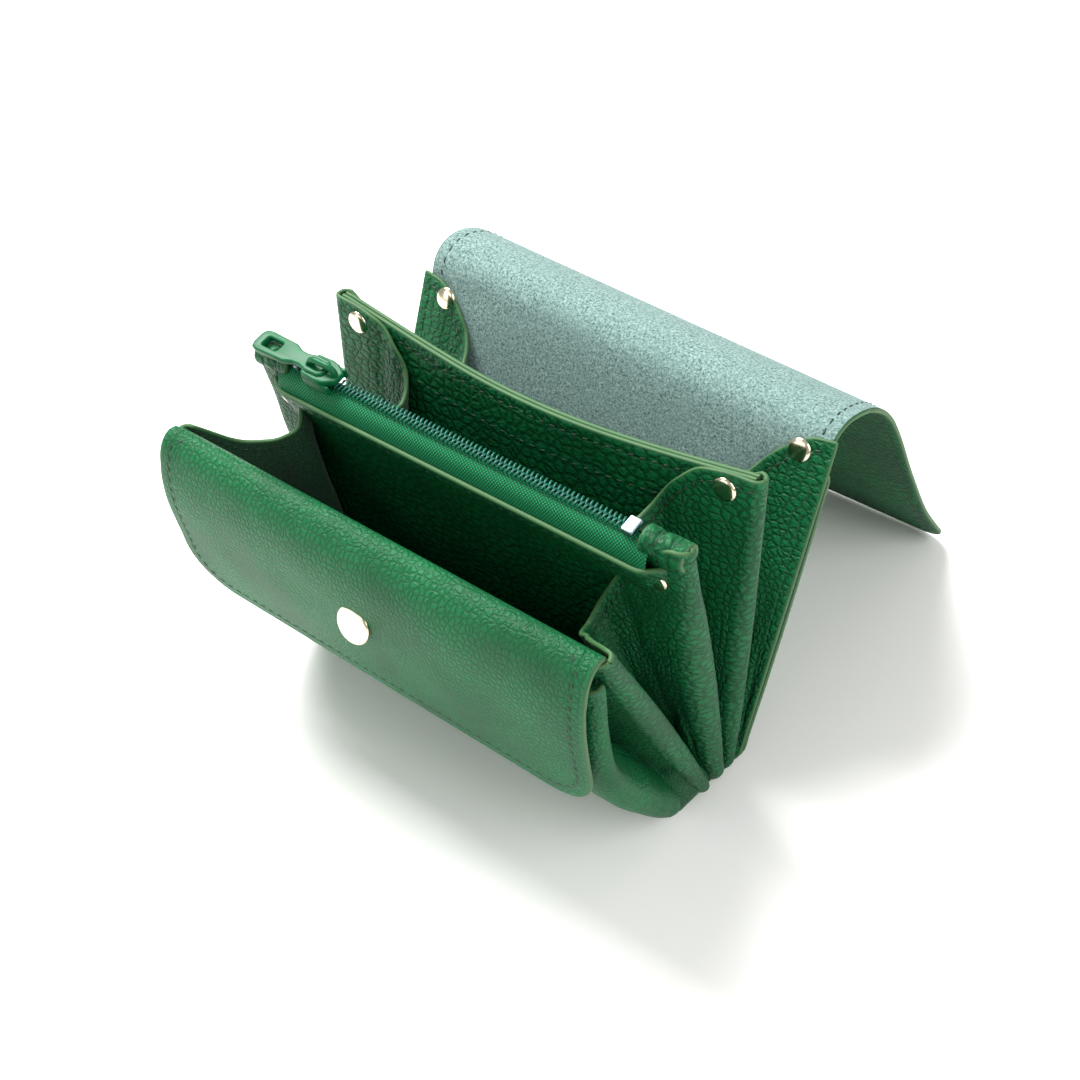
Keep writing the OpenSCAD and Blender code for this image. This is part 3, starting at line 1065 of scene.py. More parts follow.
@dataclass(frozen=True)
class Wall:
    """A wall that leans on its foot line, in mm. Its front faces -Y."""

    y: float
    z: float
    tilt: float

    def at(self, up: float, out: float = 0.0) -> Point2:
        """Place (y, z) up the wall and out of its front."""
        s, c = math.sin(self.tilt), math.cos(self.tilt)
        return (self.y + up * s - out * c, self.z + up * c + out * s)

    def y_at(self, z: np.ndarray, out: float | np.ndarray = 0.0) -> np.ndarray:
        """Y of the wall at a height, moved out of its front face."""
        return self.y + (z - self.z) * math.tan(self.tilt) - out / math.cos(self.tilt)

    def sheet(self, x: np.ndarray, up: np.ndarray, out: np.ndarray) -> np.ndarray:
        """Grid of points that lie across the wall, up it and out of its front.

        Args:
            x: Place across, for each column.
            up: Distance up the wall, for each point.
            out: Distance out of its front, for each point.

        Returns:
            The points, rows first.
        """
        s, c = math.sin(self.tilt), math.cos(self.tilt)
        y = self.y + up * s - out * c
        z = self.z + up * c + out * s
        return np.stack([np.broadcast_to(x, up.shape), y, z], axis=-1)

    def front(self) -> np.ndarray:
        """Unit vector out of the wall's front."""
        return np.array([0.0, -math.cos(self.tilt), math.sin(self.tilt)])


def joint_place(name: str) -> Point2:
    """Y and Z in mm of a joint's axis."""
    place = next(j["pos_m"] for j in frame["joints"] if j["name"] == name)
    return (place[1] / MM, place[2] / MM)


def leaning(foot: Point2, *nodes: str) -> Wall:
    """The wall through a foot line and the middle of some nodes that lie evenly about its plane.

    Args:
        foot: The foot line, as (y, z) in mm.
        nodes: Names of the nodes.

    Returns:
        The wall.
    """
    low = np.min([np.array(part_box(n)[0]) for n in nodes], axis=0)
    high = np.max([np.array(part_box(n)[1]) for n in nodes], axis=0)
    y, z = ((low + high) / 2 / MM)[1:]
    return Wall(foot[0], foot[1], math.atan2(y - foot[0], z - foot[1]))


class Layout:
    """Places that every sub-assembly shares, read from the frame."""

    corner = 5.5
    clearance = 0.4
    taper = 1.4
    full_height = 96.0

    def __init__(self) -> None:
        """Reads the walls, folds and widths."""
        low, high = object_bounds()
        self.half = (high[0] - low[0]) / 2 / MM - self.clearance
        self.divider = leaning(joint_place("divider_fold"), "divider_front_layer", "divider_rear_layer")
        self.zip = leaning(joint_place("zip_pocket_fold"), "zip_pocket_front", "zip_pocket_rear")
        self.inner = leaning(joint_place("inner_wall_fold"), "inner_front_wall")
        self.flap_fold = joint_place("purse_close")
        foot = (self.divider.y + (self.divider.y - self.zip.y), self.divider.z)
        self.back = leaning(foot, "back_panel")
        self.front_fold = joint_place("front_flap_open")
        self.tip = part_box("main_flap_front")[1][1] / MM
        self.front_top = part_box("front_panel")[1][2] / MM

    def side(self, z: np.ndarray) -> np.ndarray:
        """Half-width of the purse: the sides narrow a little downwards and round in under the base.

        Args:
            z: Heights in mm.

        Returns:
            The half-width in mm at each height.
        """
        rise = np.clip(z / self.corner, 0, 1)
        narrowing = self.taper * np.clip(1 - z / self.full_height, 0, 1) ** 3
        rounding = self.corner * (1 - np.sqrt(1 - (1 - rise) ** 2))
        return self.half - narrowing - rounding


# ---------------------------------------------------------------------------
# Sub-assemblies
# ---------------------------------------------------------------------------


@dataclass
class OuterShell:
    """Back, base and front panel in one piece, and the main flap in two that meet on its top strip."""

    layout: Layout
    palette: Palette
    thickness: float = 1.4
    half: float = 62.6
    split: float = 80.0
    step: float = 1.6
    corner: float = 9.0
    wrap: float = 20.0
    horn: float = 11.0
    curl: float = 155.0
    edge_in: float = 1.8
    margin: float = 3.0
    back_foot: Point2 = (6.6, 3.6)
    front_foot: Point2 = (-24.0, 6.5)

    def panel_line(self) -> np.ndarray:
        """Mid-line (y, z) from the back panel down, under the walls and up the front panel."""
        back = self.layout.back
        under = self.thickness / 2
        top = self.layout.front_top
        down = [back.at(self.split), back.at(50), back.at(20), back.at(6), self.back_foot, (3.6, under + 0.3)]
        base = [(0.0, under), (-7.0, under), (-12.5, under + 0.1), (-17.0, 1.9), (-22.5, 5.2)]
        rise = [(-30.4, 12.2), (-38.0, 20.6), (-45.5, 29.5), (-51.2, 38.0), (-57.0, 50.5), (-60.3, top - 1.0)]
        return curve_through(down + base + rise, 130)

    def build(self) -> None:
        """Builds the shell, the flap and their seams."""
        self.build_panels()
        self.build_flap()

    def build_panels(self) -> None:
        """The back panel, the base and the front panel, in one piece with its seams."""
        line = self.panel_line()
        run = lengths(line)
        flat, shaped = self.wrapped(line, run)
        cols = flat.shape[1]
        # the weights rise from the base, a little behind the front panel's joint
        turn = np.argmin(np.abs(line[:, 0] + 13) + (line[:, 1] > 6) * 99)
        weights = np.repeat(smooth((run - run[turn]) / 9)[:, None], cols, axis=1)
        hide = Hide("outer_shell", flat, shaped, self.thickness, False, frozenset({Edge.FOOT}), weights)
        shell = hide.build(self.palette.panel, self.palette.suede, self.palette.cut)
        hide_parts("back_panel", "base_fold", "front_panel")
        follow(shell, "back", "front_panel")
        log.info("outer shell: %d points", len(shell.data.vertices))
        x = self.half - self.margin
        for hand in Hand:
            path = np.array([[hand.value * x, -1.0], [hand.value * x, -70.0]])
            seam = Seam().sew(f"back_seam_{hand.name.lower()}", hide, path)
            dress(seam, self.palette.thread)
            follow(seam, "back", "front_panel")
        top = self.margin - run[-1]
        path = np.array([[-self.half + 4, top], [self.half - 4, top]])
        seam = Seam().sew("front_panel_seam", hide, path)
        dress(seam, self.palette.thread)
        follow(seam, "back", "front_panel")

    def profile(self, k: float, count: int) -> np.ndarray:
        """Mid-line (y, z) of the flap, which stands a little higher at its left end.

        Args:
            k: Place across, from 0 at the left end to 1 at the right end.
            count: How many points to return.

        Returns:
            The points, from the back panel to the tip.
        """
        back = self.layout.back
        tip = self.layout.tip
        left = [back.at(self.split), back.at(87), (34.3, 91.6), (37.6, 94.6), (43.2, 95.4), (50.2, 93.4)]
        left += [(57.0, 89.0), (63.6, 82.4), (70.0, 73.6), (84.5, 52.0), (101.0, 28.0), (tip - 5.6, 2.0)]
        right = [back.at(self.split), back.at(84.5), (34.0, 87.2), (38.2, 88.9), (45.0, 88.2), (51.6, 85.9)]
        right += [(58.0, 82.0), (64.0, 76.6), (70.2, 69.2), (84.8, 47.0), (101.5, 23.4), (tip - 5.0, 1.2)]
        a, b = curve_through(left, count), curve_through(right, count)
        return a + (b - a) * k

    def wrapped(self, line: np.ndarray, run: np.ndarray) -> tuple[np.ndarray, np.ndarray]:
        """Grids of the shell: flat beside the back panel, with sides that turn in from the base forward.

        Args:
            line: Mid-line (y, z), from the back panel to the top of the front panel.
            run: Distance along it.

        Returns:
            The flat and the shaped grid.
        """
        back_foot, front_foot = (
            run[np.argmin(np.hypot(line[:, 0] - y, line[:, 1] - z))]
            for y, z in (self.back_foot, self.front_foot)
        )
        share = smooth((run - front_foot + 8) / 14)[:, None]
        turned_in = share * self.wrap
        under = self.thickness / 2
        beside = self.layout.side(np.maximum(line[:, 1], under))
        flush = np.where(run < back_foot + 3, beside, self.layout.side(np.array(under)))
        start = flush[:, None] + (self.half - 2.5 - flush[:, None]) * share
        radius = 0.4 + 2.7 * share - smooth((run[:, None] / run[-1] - 0.8) / 0.2)
        # columns lie closer together near both edges, from here out
        near, rest = 0.82, 0.18
        k = np.concatenate(
            [np.linspace(-1, -near, 16)[:-1], np.linspace(-near, near, 74), np.linspace(near, 1, 16)[1:]]
        )
        size = np.abs(k)[None, :]
        inner = start - self.edge_in * (1 - share)
        rim = start + turned_in - inner
        reach = np.where(size <= near, size / near * inner, inner + (size - near) / rest * rim)
        past = np.maximum(reach - start, 0)
        most = math.radians(self.curl)
        angle = np.minimum(past / radius, most)
        beyond = np.maximum(past - radius * most, 0)
        x = np.minimum(reach, start) + radius * np.sin(angle) + beyond * math.cos(most)
        into = radius * (1 - np.cos(angle)) + beyond * math.sin(most)
        way = np.gradient(line, axis=0)
        way /= np.linalg.norm(way, axis=1, keepdims=True)
        y = line[:, :1] + way[:, 1:] * into
        z = line[:, 1:] - way[:, :1] * into
        # the top corners of the front panel run up into a soft horn beside the flap
        horn = smooth((run[:, None] / run[-1] - 0.86) / 0.14) * smooth((reach - start + 7) / 7)
        horn = horn * (1 - smooth((reach - start - 4) / 5))
        y = y + horn * 1.2
        z = z + horn * self.horn
        flat = np.stack([reach * np.sign(k), -run[:, None] - horn * self.horn], axis=-1)
        rub = wavy(flat.reshape(-1, 2) * np.array([0.4, 1.0]), 4.5, 9.0).reshape(reach.shape)
        pucker = smooth(past / 3) * smooth((40 - line[:, 1:]) / 25) * smooth((line[:, 1:] - 2) / 5)
        shaped = np.stack([x * np.sign(k), y, z], axis=-1)
        creased = np.stack([rub * np.sign(k), rub * 0, rub], axis=-1)
        return flat, shaped + creased * (pucker * 0.55)[:, :, None]

    def build_flap(self) -> None:
        """The flap's two pieces: over its first fold, and over its second fold to the tip."""
        rows = 100
        cols = int(2 * self.half / self.step)
        half = self.half - 0.6
        lines = np.stack([self.profile(k, rows) for k in np.linspace(0, 1, cols)], axis=1)
        run = np.mean([lengths(lines[:, c]) for c in range(cols)], axis=0)
        end = run[-1]
        bend = end - self.corner * (1 - np.sin(np.linspace(0, math.pi / 2, 14)))
        fine = np.concatenate([np.arange(0, end - self.corner, self.step), bend])
        x = np.linspace(-1, 1, cols)
        away = np.clip(fine - (end - self.corner), 0, self.corner)
        width = half - self.corner + np.sqrt(np.maximum(self.corner**2 - away**2, 0.0))
        flat_x = width[:, None] * x[None, :]
        # the profile varies from end to end, so each point reads it at its own place across
        shaped = np.zeros((len(fine), cols, 3))
        across = (flat_x / half + 1) / 2 * (cols - 1)
        for i, s in enumerate(fine):
            r = s / end * (rows - 1)
            r0 = min(int(r), rows - 2)
            row = lines[r0] * (1 - (r - r0)) + lines[r0 + 1] * (r - r0)
            shaped[i, :, 0] = flat_x[i]
            for axis in (0, 1):
                shaped[i, :, axis + 1] = np.interp(across[i], np.arange(cols), row[:, axis])
        places = np.stack([flat_x.ravel(), np.repeat(fine, cols)], axis=1)
        ripple = wavy(places, 38, 4.0).reshape(flat_x.shape)
        ease = smooth((fine - 30) / 30)[:, None] * smooth((end - fine) / 40)[:, None]
        shaped[:, :, 1] += ripple * ease * 1.1
        flat = np.stack(np.broadcast_arrays(flat_x, fine[:, None]), axis=-1)
        first, second = 27.0, 28.6
        cut = int(np.argmin(np.abs(fine - first)))
        top_weights = np.repeat(smooth((fine - 6) / 12)[:, None], cols, axis=1)
        low_weights = np.repeat(smooth((fine - second) / 20)[:, None], cols, axis=1)
        pieces = (
            ("main_flap_over_top", "main_flap_top", slice(0, cut + 1), top_weights, {Edge.FOOT, Edge.TOP}),
            ("main_flap_outer", "main_flap_front", slice(cut, None), low_weights, {Edge.FOOT}),
        )
        bodies = (("back", "main_flap_top"), ("main_flap_top", "main_flap"))
        seams = (self.side_lines(half, 2.0, first), self.loop_line(half, first, end))
        for (name, node, part, weights, joined), pair, paths in zip(pieces, bodies, seams, strict=True):
            edges = frozenset(joined)
            hide = Hide(name, flat[part], shaped[part], self.thickness, False, edges, weights[part])
            obj = hide.build(self.palette.suede, self.palette.leather, self.palette.cut)
            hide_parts(node)
            follow(obj, *pair)
            log.info("%s: %d points", name, len(obj.data.vertices))
            for i, path in enumerate(paths):
                seam = Seam().sew(f"{name}_seam_{i}", hide, np.array(path))
                dress(seam, self.palette.thread)
                follow(seam, *pair)

    def side_lines(self, half: float, start: float, end: float) -> list[list[Point2]]:
        """Seam lines along both sides of the flap, between two distances from its foot."""
        x = half - self.margin
        return [[(k * x, start), (k * x, end)] for k in (-1, 1)]

    def loop_line(self, half: float, start: float, end: float) -> list[list[Point2]]:
        """One seam line down the right side of the flap, round its tip and back up the left side."""
        x = half - self.margin
        r = self.corner - self.margin
        turns = np.linspace(0, math.pi / 2, 6)
        bend = [(x - (1 - math.cos(t)) * r, end - self.corner + math.sin(t) * r) for t in turns]
        return [[(x, start)] + bend + [(-px, py) for px, py in bend[::-1]] + [(-x, start)]]


@dataclass
class Divider:
    """Middle wall of two layers, flesh sides together, with a top edge that sags."""

    layout: Layout
    palette: Palette
    layer: float = 1.25
    half: float = 61.6
    height: float = 93.6
    sag: float = 5.6
    step: float = 1.6

    def build(self) -> None:
        """Builds both layers and their shared seams."""
        wall = self.layout.divider
        gap = 0.02
        cols, rows = int(2 * self.half / self.step), int(self.height / self.step)
        x = np.linspace(-self.half, self.half, cols)
        k = x / self.half
        top = self.height - self.sag * (1 - np.abs(k) ** 2.4)
        v = np.linspace(0, 1, rows)[:, None]
        s = 1.0 + v * (top[None, :] - 1.0)
        bow = 2.2 * np.sin(math.pi * (k * 0.5 + 0.5))[None, :] * smooth(v) * np.cos(k * 2.2)[None, :]
        flat = np.stack([np.broadcast_to(x, s.shape), s], axis=-1)
        for name, node, out, flipped in (
            ("divider_front", "divider_front_layer", self.layer / 2 + gap, False),
            ("divider_rear", "divider_rear_layer", -self.layer / 2 - gap, True),
        ):
            hide = Hide(name, flat, wall.sheet(x, s, out + bow), self.layer, flipped)
            obj = hide.build(self.palette.leather, self.palette.suede, self.palette.cut)
            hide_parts(node)
            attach(obj, "divider")
            rim = np.stack([x[::-1], top[::-1]], axis=1)
            seam = Seam(sides=(1,)).sew(f"{name}_seam", hide, inset(rim, 2.8)[2:-2])
            dress(seam, self.palette.thread)
            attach(seam, "divider")
            if not flipped:
                low = inset(rim, 11.5)[8:-8]
                second = Seam(sides=(1,), thread=0.26).sew("divider_pocket_seam", hide, low)
                dress(second, self.palette.thread)
                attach(second, "divider")
        log.info("divider built")


@dataclass
class FrontPocket:
    """Inner front wall and front flap in one piece over the fold."""

    layout: Layout
    palette: Palette
    thickness: float = 1.4
    wall_half: float = 61.6
    flap_half: float = 63.0
    margin: float = 3.0
    corner: float = 13.0
    step: float = 1.5

    def line(self) -> np.ndarray:
        """Mid-line (y, z) up the inner wall, over the fold and down the flap."""
        wall = self.layout.inner
        y, z = self.layout.front_fold
        over = [(y - 1.6, z + 0.5), (y - 4.2, z - 0.5), (y - 6.6, z - 3.4), (y - 7.8, z - 8.0)]
        down = [(y - 7.8, z - 15.0), (y - 6.8, z - 21.6), (y - 5.3, z - 28.5), (y - 3.3, z - 36.0)]
        tip = [(y - 0.6, z - 45.2)]
        return curve_through([wall.at(up) for up in (1.0, 40, 75, 88, 94.0)] + over + down + tip, 110)

    def build(self) -> None:
        """Builds the wall with its flap, and the flap's seam."""
        line = self.line()
        run = lengths(line)
        end = run[-1]
        fold = run[int(np.argmax(line[:, 1]))]
        tip = end - self.corner * (1 - np.sin(np.linspace(0, math.pi / 2, 16)))
        rows = np.concatenate([np.arange(0, end - self.corner, self.step), tip])
        y = np.interp(rows, run, line[:, 0])
        z = np.interp(rows, run, line[:, 1])
        grown = self.wall_half + (self.flap_half - self.wall_half) * smooth((rows - fold + 8) / 10)
        away = np.clip(rows - (end - self.corner), 0, self.corner)
        width = grown - self.corner + np.sqrt(np.maximum(self.corner**2 - away**2, 0.0))
        cols = int(2 * self.flap_half / self.step)
        x = np.linspace(-1, 1, cols)
        flat_x = width[:, None] * x[None, :]
        shaped = np.stack([flat_x, np.tile(y[:, None], cols), np.tile(z[:, None], cols)], axis=-1)
        # soft padding under the flap: fuller in the middle and easing at both ends
        full = smooth((rows - fold + 2) / 14) * smooth((end - rows) / 26)
        shaped[:, :, 1] += (np.abs(x) ** 3)[None, :] * full[:, None] * 1.2
        places = np.stack([flat_x.ravel(), np.repeat(rows, cols)], axis=1)
        rub = wavy(places, 16, 2.0).reshape(flat_x.shape)
        shaped[:, :, 1] += rub * full[:, None] * 0.5
        flat = np.stack(np.broadcast_arrays(flat_x, -rows[:, None]), axis=-1)
        weights = np.repeat(smooth((rows - fold + 5) / 11)[:, None], cols, axis=1)
        hide = Hide("inner_wall_and_front_flap", flat, shaped, self.thickness, True, frozenset(), weights)
        obj = hide.build(self.palette.panel, self.palette.lining, self.palette.cut)
        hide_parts("inner_front_wall", "front_flap")
        follow(obj, "inner_front", "front_flap")
        start = -(fold + 1.5)
        centre = -end + self.corner
        r = self.corner - self.margin
        x = self.flap_half - self.margin
        turns = np.linspace(0, math.pi / 2, 8)
        bend = [(x - r + r * math.cos(t), centre - r * math.sin(t)) for t in turns]
        path = [(x - 3, start), (x, start - 3)] + bend + [(-px, py) for px, py in bend[::-1]]
        path += [(-x, start - 3), (3 - x, start)]
        seam = Seam(pitch=2.9, sides=(1,)).sew("front_flap_seam", hide, np.array(path))
        dress(seam, self.palette.thread)
        follow(seam, "inner_front", "front_flap")
        log.info("front pocket: %d points", len(obj.data.vertices))


@dataclass(frozen=True)
class Crease:
    """Where a bellows strip runs, at one point across it.

    share is the part of the valley's depth, across the way from the rear face to the front one, and top the
    height of its cut edge in mm.
    """

    share: float
    across: float
    top: float


@dataclass
class Bay:
    """One bay of the side bellows, between a rear wall and a front wall."""

    name: str
    rear: Wall
    front: Wall
    rear_skin: float
    front_skin: float
    bodies: tuple[str, str]
    creases: Sequence[Crease]
    depth: float
    rear_flush: bool = False


@dataclass
class Bellows:
    """The soft side folds: each bay has one strip per end that hugs both walls and folds inward."""

    layout: Layout
    palette: Palette
    thickness: float = 1.1
    low: float = 0.6
    low_depth: float = 3.2
    rows: int = 72

    def bays(self) -> list[Bay]:
        """The three bays that open between walls, from the back to the front."""
        at = self.layout
        rear_creases = [
            (0.0, 0.0, 88.0), (0.22, 0.0, 87.0), (0.5, 0.0, 82.5), (0.78, 0.02, 76.0), (0.97, 0.2, 71.0),
            (1.0, 0.42, 70.0), (0.9, 0.68, 74.0), (0.6, 0.9, 83.0), (0.3, 0.99, 91.0), (0.0, 1.0, 96.6),
        ]
        middle_creases = [
            (0.0, 0.0, 96.6), (0.22, 0.0, 96.0), (0.45, 0.0, 94.2), (0.7, 0.02, 88.5), (0.94, 0.14, 80.0),
            (1.0, 0.36, 77.5), (0.93, 0.62, 80.0), (0.62, 0.88, 86.0), (0.3, 0.98, 92.0), (0.0, 1.0, 95.2),
        ]
        front_creases = [
            (0.0, 0.0, 95.2), (0.22, 0.0, 92.0), (0.45, 0.01, 86.0), (0.72, 0.06, 77.0), (0.95, 0.3, 68.0),
            (1.0, 0.5, 65.0), (0.9, 0.68, 67.0), (0.6, 0.83, 73.0), (0.28, 0.94, 80.5), (0.0, 1.0, 85.0),
        ]
        rear, middle, front = (
            [Crease(*values) for values in creases]
            for creases in (rear_creases, middle_creases, front_creases)
        )
        return [
            Bay("rear_bay", at.back, at.divider, 1.55, 2.0, ("back", "divider"), rear, 29.0, True),
            Bay("middle_bay", at.divider, at.zip, 2.0, 2.9, ("divider", "zip_pocket"), middle, 31.5),
            Bay("front_bay", at.zip, at.inner, 2.9, 1.9, ("zip_pocket", "inner_front"), front, 28.5),
        ]

    def shallow(self, bay: Bay) -> Bay:
        """The front bay at the left end, whose fold is pushed out and stands higher."""
        creases = [
            (0.0, 0.0, 95.2), (0.3, 0.0, 93.0), (0.7, 0.02, 90.0), (0.95, 0.1, 84.5), (1.0, 0.24, 79.0),
            (0.85, 0.42, 76.5), (0.5, 0.6, 75.2), (0.2, 0.8, 77.0), (0.0, 1.0, 85.0),
        ]
        return replace(bay, creases=[Crease(*values) for values in creases], depth=17.0)

    def build(self) -> None:
        """Builds the strips of all bays at both ends."""
        for hand in Hand:
            start = 0.0
            for bay in self.bays():
                if bay.name == "front_bay" and hand is Hand.LEFT:
                    bay = self.shallow(bay)
                start = self.build_strip(bay, hand, start)
            self.build_snap_fold(hand, start)

    def heights(self, top: np.ndarray) -> np.ndarray:
        """Heights of a strip's rows: close together in the rounding under the base, then even to its top.

        Args:
            top: Height of the strip's cut edge, for each column.

        Returns:
            The height of each point, rows first.
        """
        bend = 10
        t = np.linspace(0, math.pi / 2, bend)[:, None]
        corner = self.layout.corner
        low = self.low + (corner - self.low) * (1 - np.cos(t)) + 0 * top[None, :]
        v = np.linspace(0, 1, self.rows - bend + 1)[1:, None]
        return np.concatenate([low, corner + v * (top[None, :] - corner)])

    def share_up(self, z: np.ndarray) -> np.ndarray:
        """How far up the bellows a height is, from 0 at their foot to 1."""
        return np.clip((z - self.low) / (self.layout.full_height - self.low), 0, 1)

    def fullness(self, h: np.ndarray) -> np.ndarray:
        """How far a ridge puffs out by its share of the height: thin at the foot and fullest half way up."""
        return 0.62 + 0.38 * smooth(h * 6) + 0.55 * np.sin(math.pi * np.clip(h * 1.05, 0, 1)) ** 2

    def build_strip(self, bay: Bay, hand: Hand, start: float) -> float:
        """Builds one strip with its top seam.

        Args:
            bay: The bay it closes.
            hand: The end it is at.
            start: Where its flat pattern starts, in mm, so that the grain runs on from its neighbour.

        Returns:
            Where its flat pattern ends.
        """
        grid, flat, across = self.grid(bay)
        flat[:, :, 0] += start
        grid[:, :, 0] *= hand.value
        name = f"bellows_{bay.name}_{hand.name.lower()}"
        weights = np.repeat(across[None, :], grid.shape[0], axis=0)
        flipped = hand is Hand.RIGHT
        joined = frozenset({Edge.RIGHT} if bay.rear_flush else {Edge.LEFT, Edge.RIGHT})
        hide = Hide(name, flat, grid, self.thickness, flipped, joined, weights)
        obj = hide.build(self.palette.bellows, self.palette.lining, self.palette.cut)
        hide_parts(f"gusset_{hand.name.lower()}_{bay.name}")
        follow(obj, *bay.bodies)
        top = flat[-1, ::-1]
        line = inset(top, 2.6)
        seam = Seam(pitch=2.9, sides=(1, -1)).sew(f"{name}_seam", hide, resampled(line, 160)[4:-4])
        dress(seam, self.palette.thread)
        follow(seam, *bay.bodies)
        log.info("%s: %d points", name, len(obj.data.vertices))
        return float(flat[0, -1, 0])

    def grid(self, bay: Bay) -> tuple[np.ndarray, np.ndarray, np.ndarray]:
        """Lays out a strip at the right end.

        Args:
            bay: The bay it closes.

        Returns:
            Its shaped points, its flat pattern, and how far across the bay each column is, from 0 to 1.
        """
        turn = np.linspace(0, math.pi / 2, 7)[:-1]
        # shares are turned to millimetres, so that the curve is even, and back
        deep, wide = 30, 22
        mid = curve_through([(c.share * deep, c.across * wide, c.top) for c in bay.creases], 56)
        share, across, top = np.clip(mid[:, 0] / deep, 0, 1), np.clip(mid[:, 1] / wide, 0, 1), mid[:, 2]
        cols = [(bay.rear_skin * (1 - math.cos(t)), 0.0, 0.0, math.sin(t), 1.0, top[0]) for t in turn]
        if bay.rear_flush:
            cols = [(0.0, 0.0, 0.0, 1.0, 1.0, top[0])]
        rear_in = 0.4 if bay.rear_flush else bay.rear_skin
        for s, a, h in zip(share, across, top, strict=True):
            cols.append((rear_in * (1 - a) + bay.front_skin * a, s, a, 1.0, 1.0, h))
        for t in turn[::-1]:
            cols.append((bay.front_skin * (1 - math.cos(t)), 0.0, 1.0, 1.0, math.sin(t), top[-1]))
        inward, share, across, rear_out, front_out, top = (np.array(c) for c in zip(*cols, strict=True))
        z = self.heights(top)
        h = self.share_up(z)
        depth = self.low_depth + (bay.depth - self.low_depth) * h**0.7 * smooth(h * 7)
        edge = self.layout.side(z)
        skin = self.fullness(h)
        x = edge - inward[None, :] * skin - share[None, :] * (depth - 3)
        # held flat under the rivets of the zip pocket
        tuck = 1 - 0.24 * smooth((h - 0.72) / 0.14)
        rear_skin = bay.rear_skin * (tuck if bay.rear is self.layout.zip else 1.0)
        front_skin = bay.front_skin * (tuck if bay.front is self.layout.zip else 1.0)
        rear = bay.rear.y_at(z, rear_out[None, :] * rear_skin * skin)
        front = bay.front.y_at(z, -front_out[None, :] * front_skin * skin)
        y = rear * (1 - across) + front * across
        grid = np.stack([x, y, z], axis=-1)
        ref = grid[int(self.rows * 0.8)]
        run = lengths(ref)
        slope = (1 - across) / math.cos(bay.rear.tilt) + across / math.cos(bay.front.tilt)
        flat = np.stack([np.broadcast_to(run, z.shape), z * slope[None, :]], axis=-1).copy()
        grid = self.wrinkled(bay, grid, flat, share, h)
        return grid, flat, across

    def wrinkled(
        self, bay: Bay, grid: np.ndarray, flat: np.ndarray, share: np.ndarray, h: np.ndarray
    ) -> np.ndarray:
        """Adds creases that fan out from the foot, and puckers by the valley.

        Args:
            bay: The bay.
            grid: Shaped points.
            flat: Flat points.
            share: Part of the valley's depth per column.
            h: Height of each point, from 0 at the foot to 1 at the top.

        Returns:
            The wrinkled points.
        """
        seed = sum(ord(c) for c in bay.name) % 17
        flow = flat.reshape(-1, 2) * np.array([1.0, 0.28])
        fans = wavy(flow, 4.6, seed).reshape(h.shape)
        cross = wavy(flat.reshape(-1, 2) * np.array([0.35, 1.0]), 4.2, seed + 3).reshape(h.shape)
        low = smooth((0.5 - h) / 0.4)
        valley = smooth(share * 1.4)[None, :]
        amount = fans * (1.5 * low + 0.6 * valley) + cross * 0.7 * low * (1 - valley)
        hold = smooth(share * 8)[None, :] * 0.8 + 0.2
        n = facing(grid)
        # flat where it rests on the floor
        amount = amount * smooth((grid[:, :, 2] - 2) / 7)
        fixed = np.ones(share.shape)
        fixed[[0, -1]] = 0
        return grid + n * (amount * hold * fixed[None, :])[:, :, None]

    def build_snap_fold(self, hand: Hand, start: float) -> None:
        """Bellows of the snap pocket, from the inner wall's ridge to the hidden valley.

        Args:
            hand: The end it is at.
            start: Where its flat pattern starts, in mm.
        """
        inner = self.layout.inner
        k = np.linspace(0, 1, 38)[None, :]
        # a fifth of the columns round the ridge, and the others run in to the valley
        turn = np.minimum(k / 0.2, 1) * math.pi / 2
        deep = np.clip((k - 0.2) / 0.8, 0, 1)
        z = self.heights((84.6 - deep * 18)[0])
        h = self.share_up(z)
        skin = 1.9 * self.fullness(h)
        x = self.layout.side(z) - skin * (1 - np.cos(turn)) - deep * 20 * smooth(h * 1.6) ** 0.8
        y = inner.y_at(z, skin * np.sin(turn) + deep * (1.5 + 6 * h))
        # low down it spreads forward and closes the corner behind the front panel
        panel_z = (0.6, 2.5, 5.2, 12.2, 20.6)
        panel_y = (-14.5, -18.0, -21.5, -29.0, -36.2)
        panel = np.interp(z, panel_z, panel_y)
        spread = np.minimum(panel + 1.6 - inner.y_at(z, 1.5), 0) * (1 - smooth((z - 6) / 16))
        y = y + deep * spread
        pts = np.stack([x, y, z], axis=-1)
        run = start + lengths(pts[-10])
        flat = np.stack([np.broadcast_to(run, z.shape), z / math.cos(inner.tilt)], axis=-1).copy()
        rub = wavy(flat.reshape(-1, 2) * np.array([0.4, 1.0]), 4.2, 11.0).reshape(x.shape)
        pts[:, :, 1] -= rub * smooth(k * 4) * smooth((0.6 - h) / 0.4) * smooth((z - 2) / 7) * 0.6
        pts[:, :, 0] *= hand.value
        name = f"bellows_snap_bay_{hand.name.lower()}"
        hide = Hide(name, flat, pts, self.thickness, hand is Hand.RIGHT, frozenset({Edge.LEFT}))
        obj = hide.build(self.palette.bellows, self.palette.lining, self.palette.cut)
        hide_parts(f"gusset_{hand.name.lower()}_snap_bay")
        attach(obj, "inner_front")
        log.info("%s built", name)


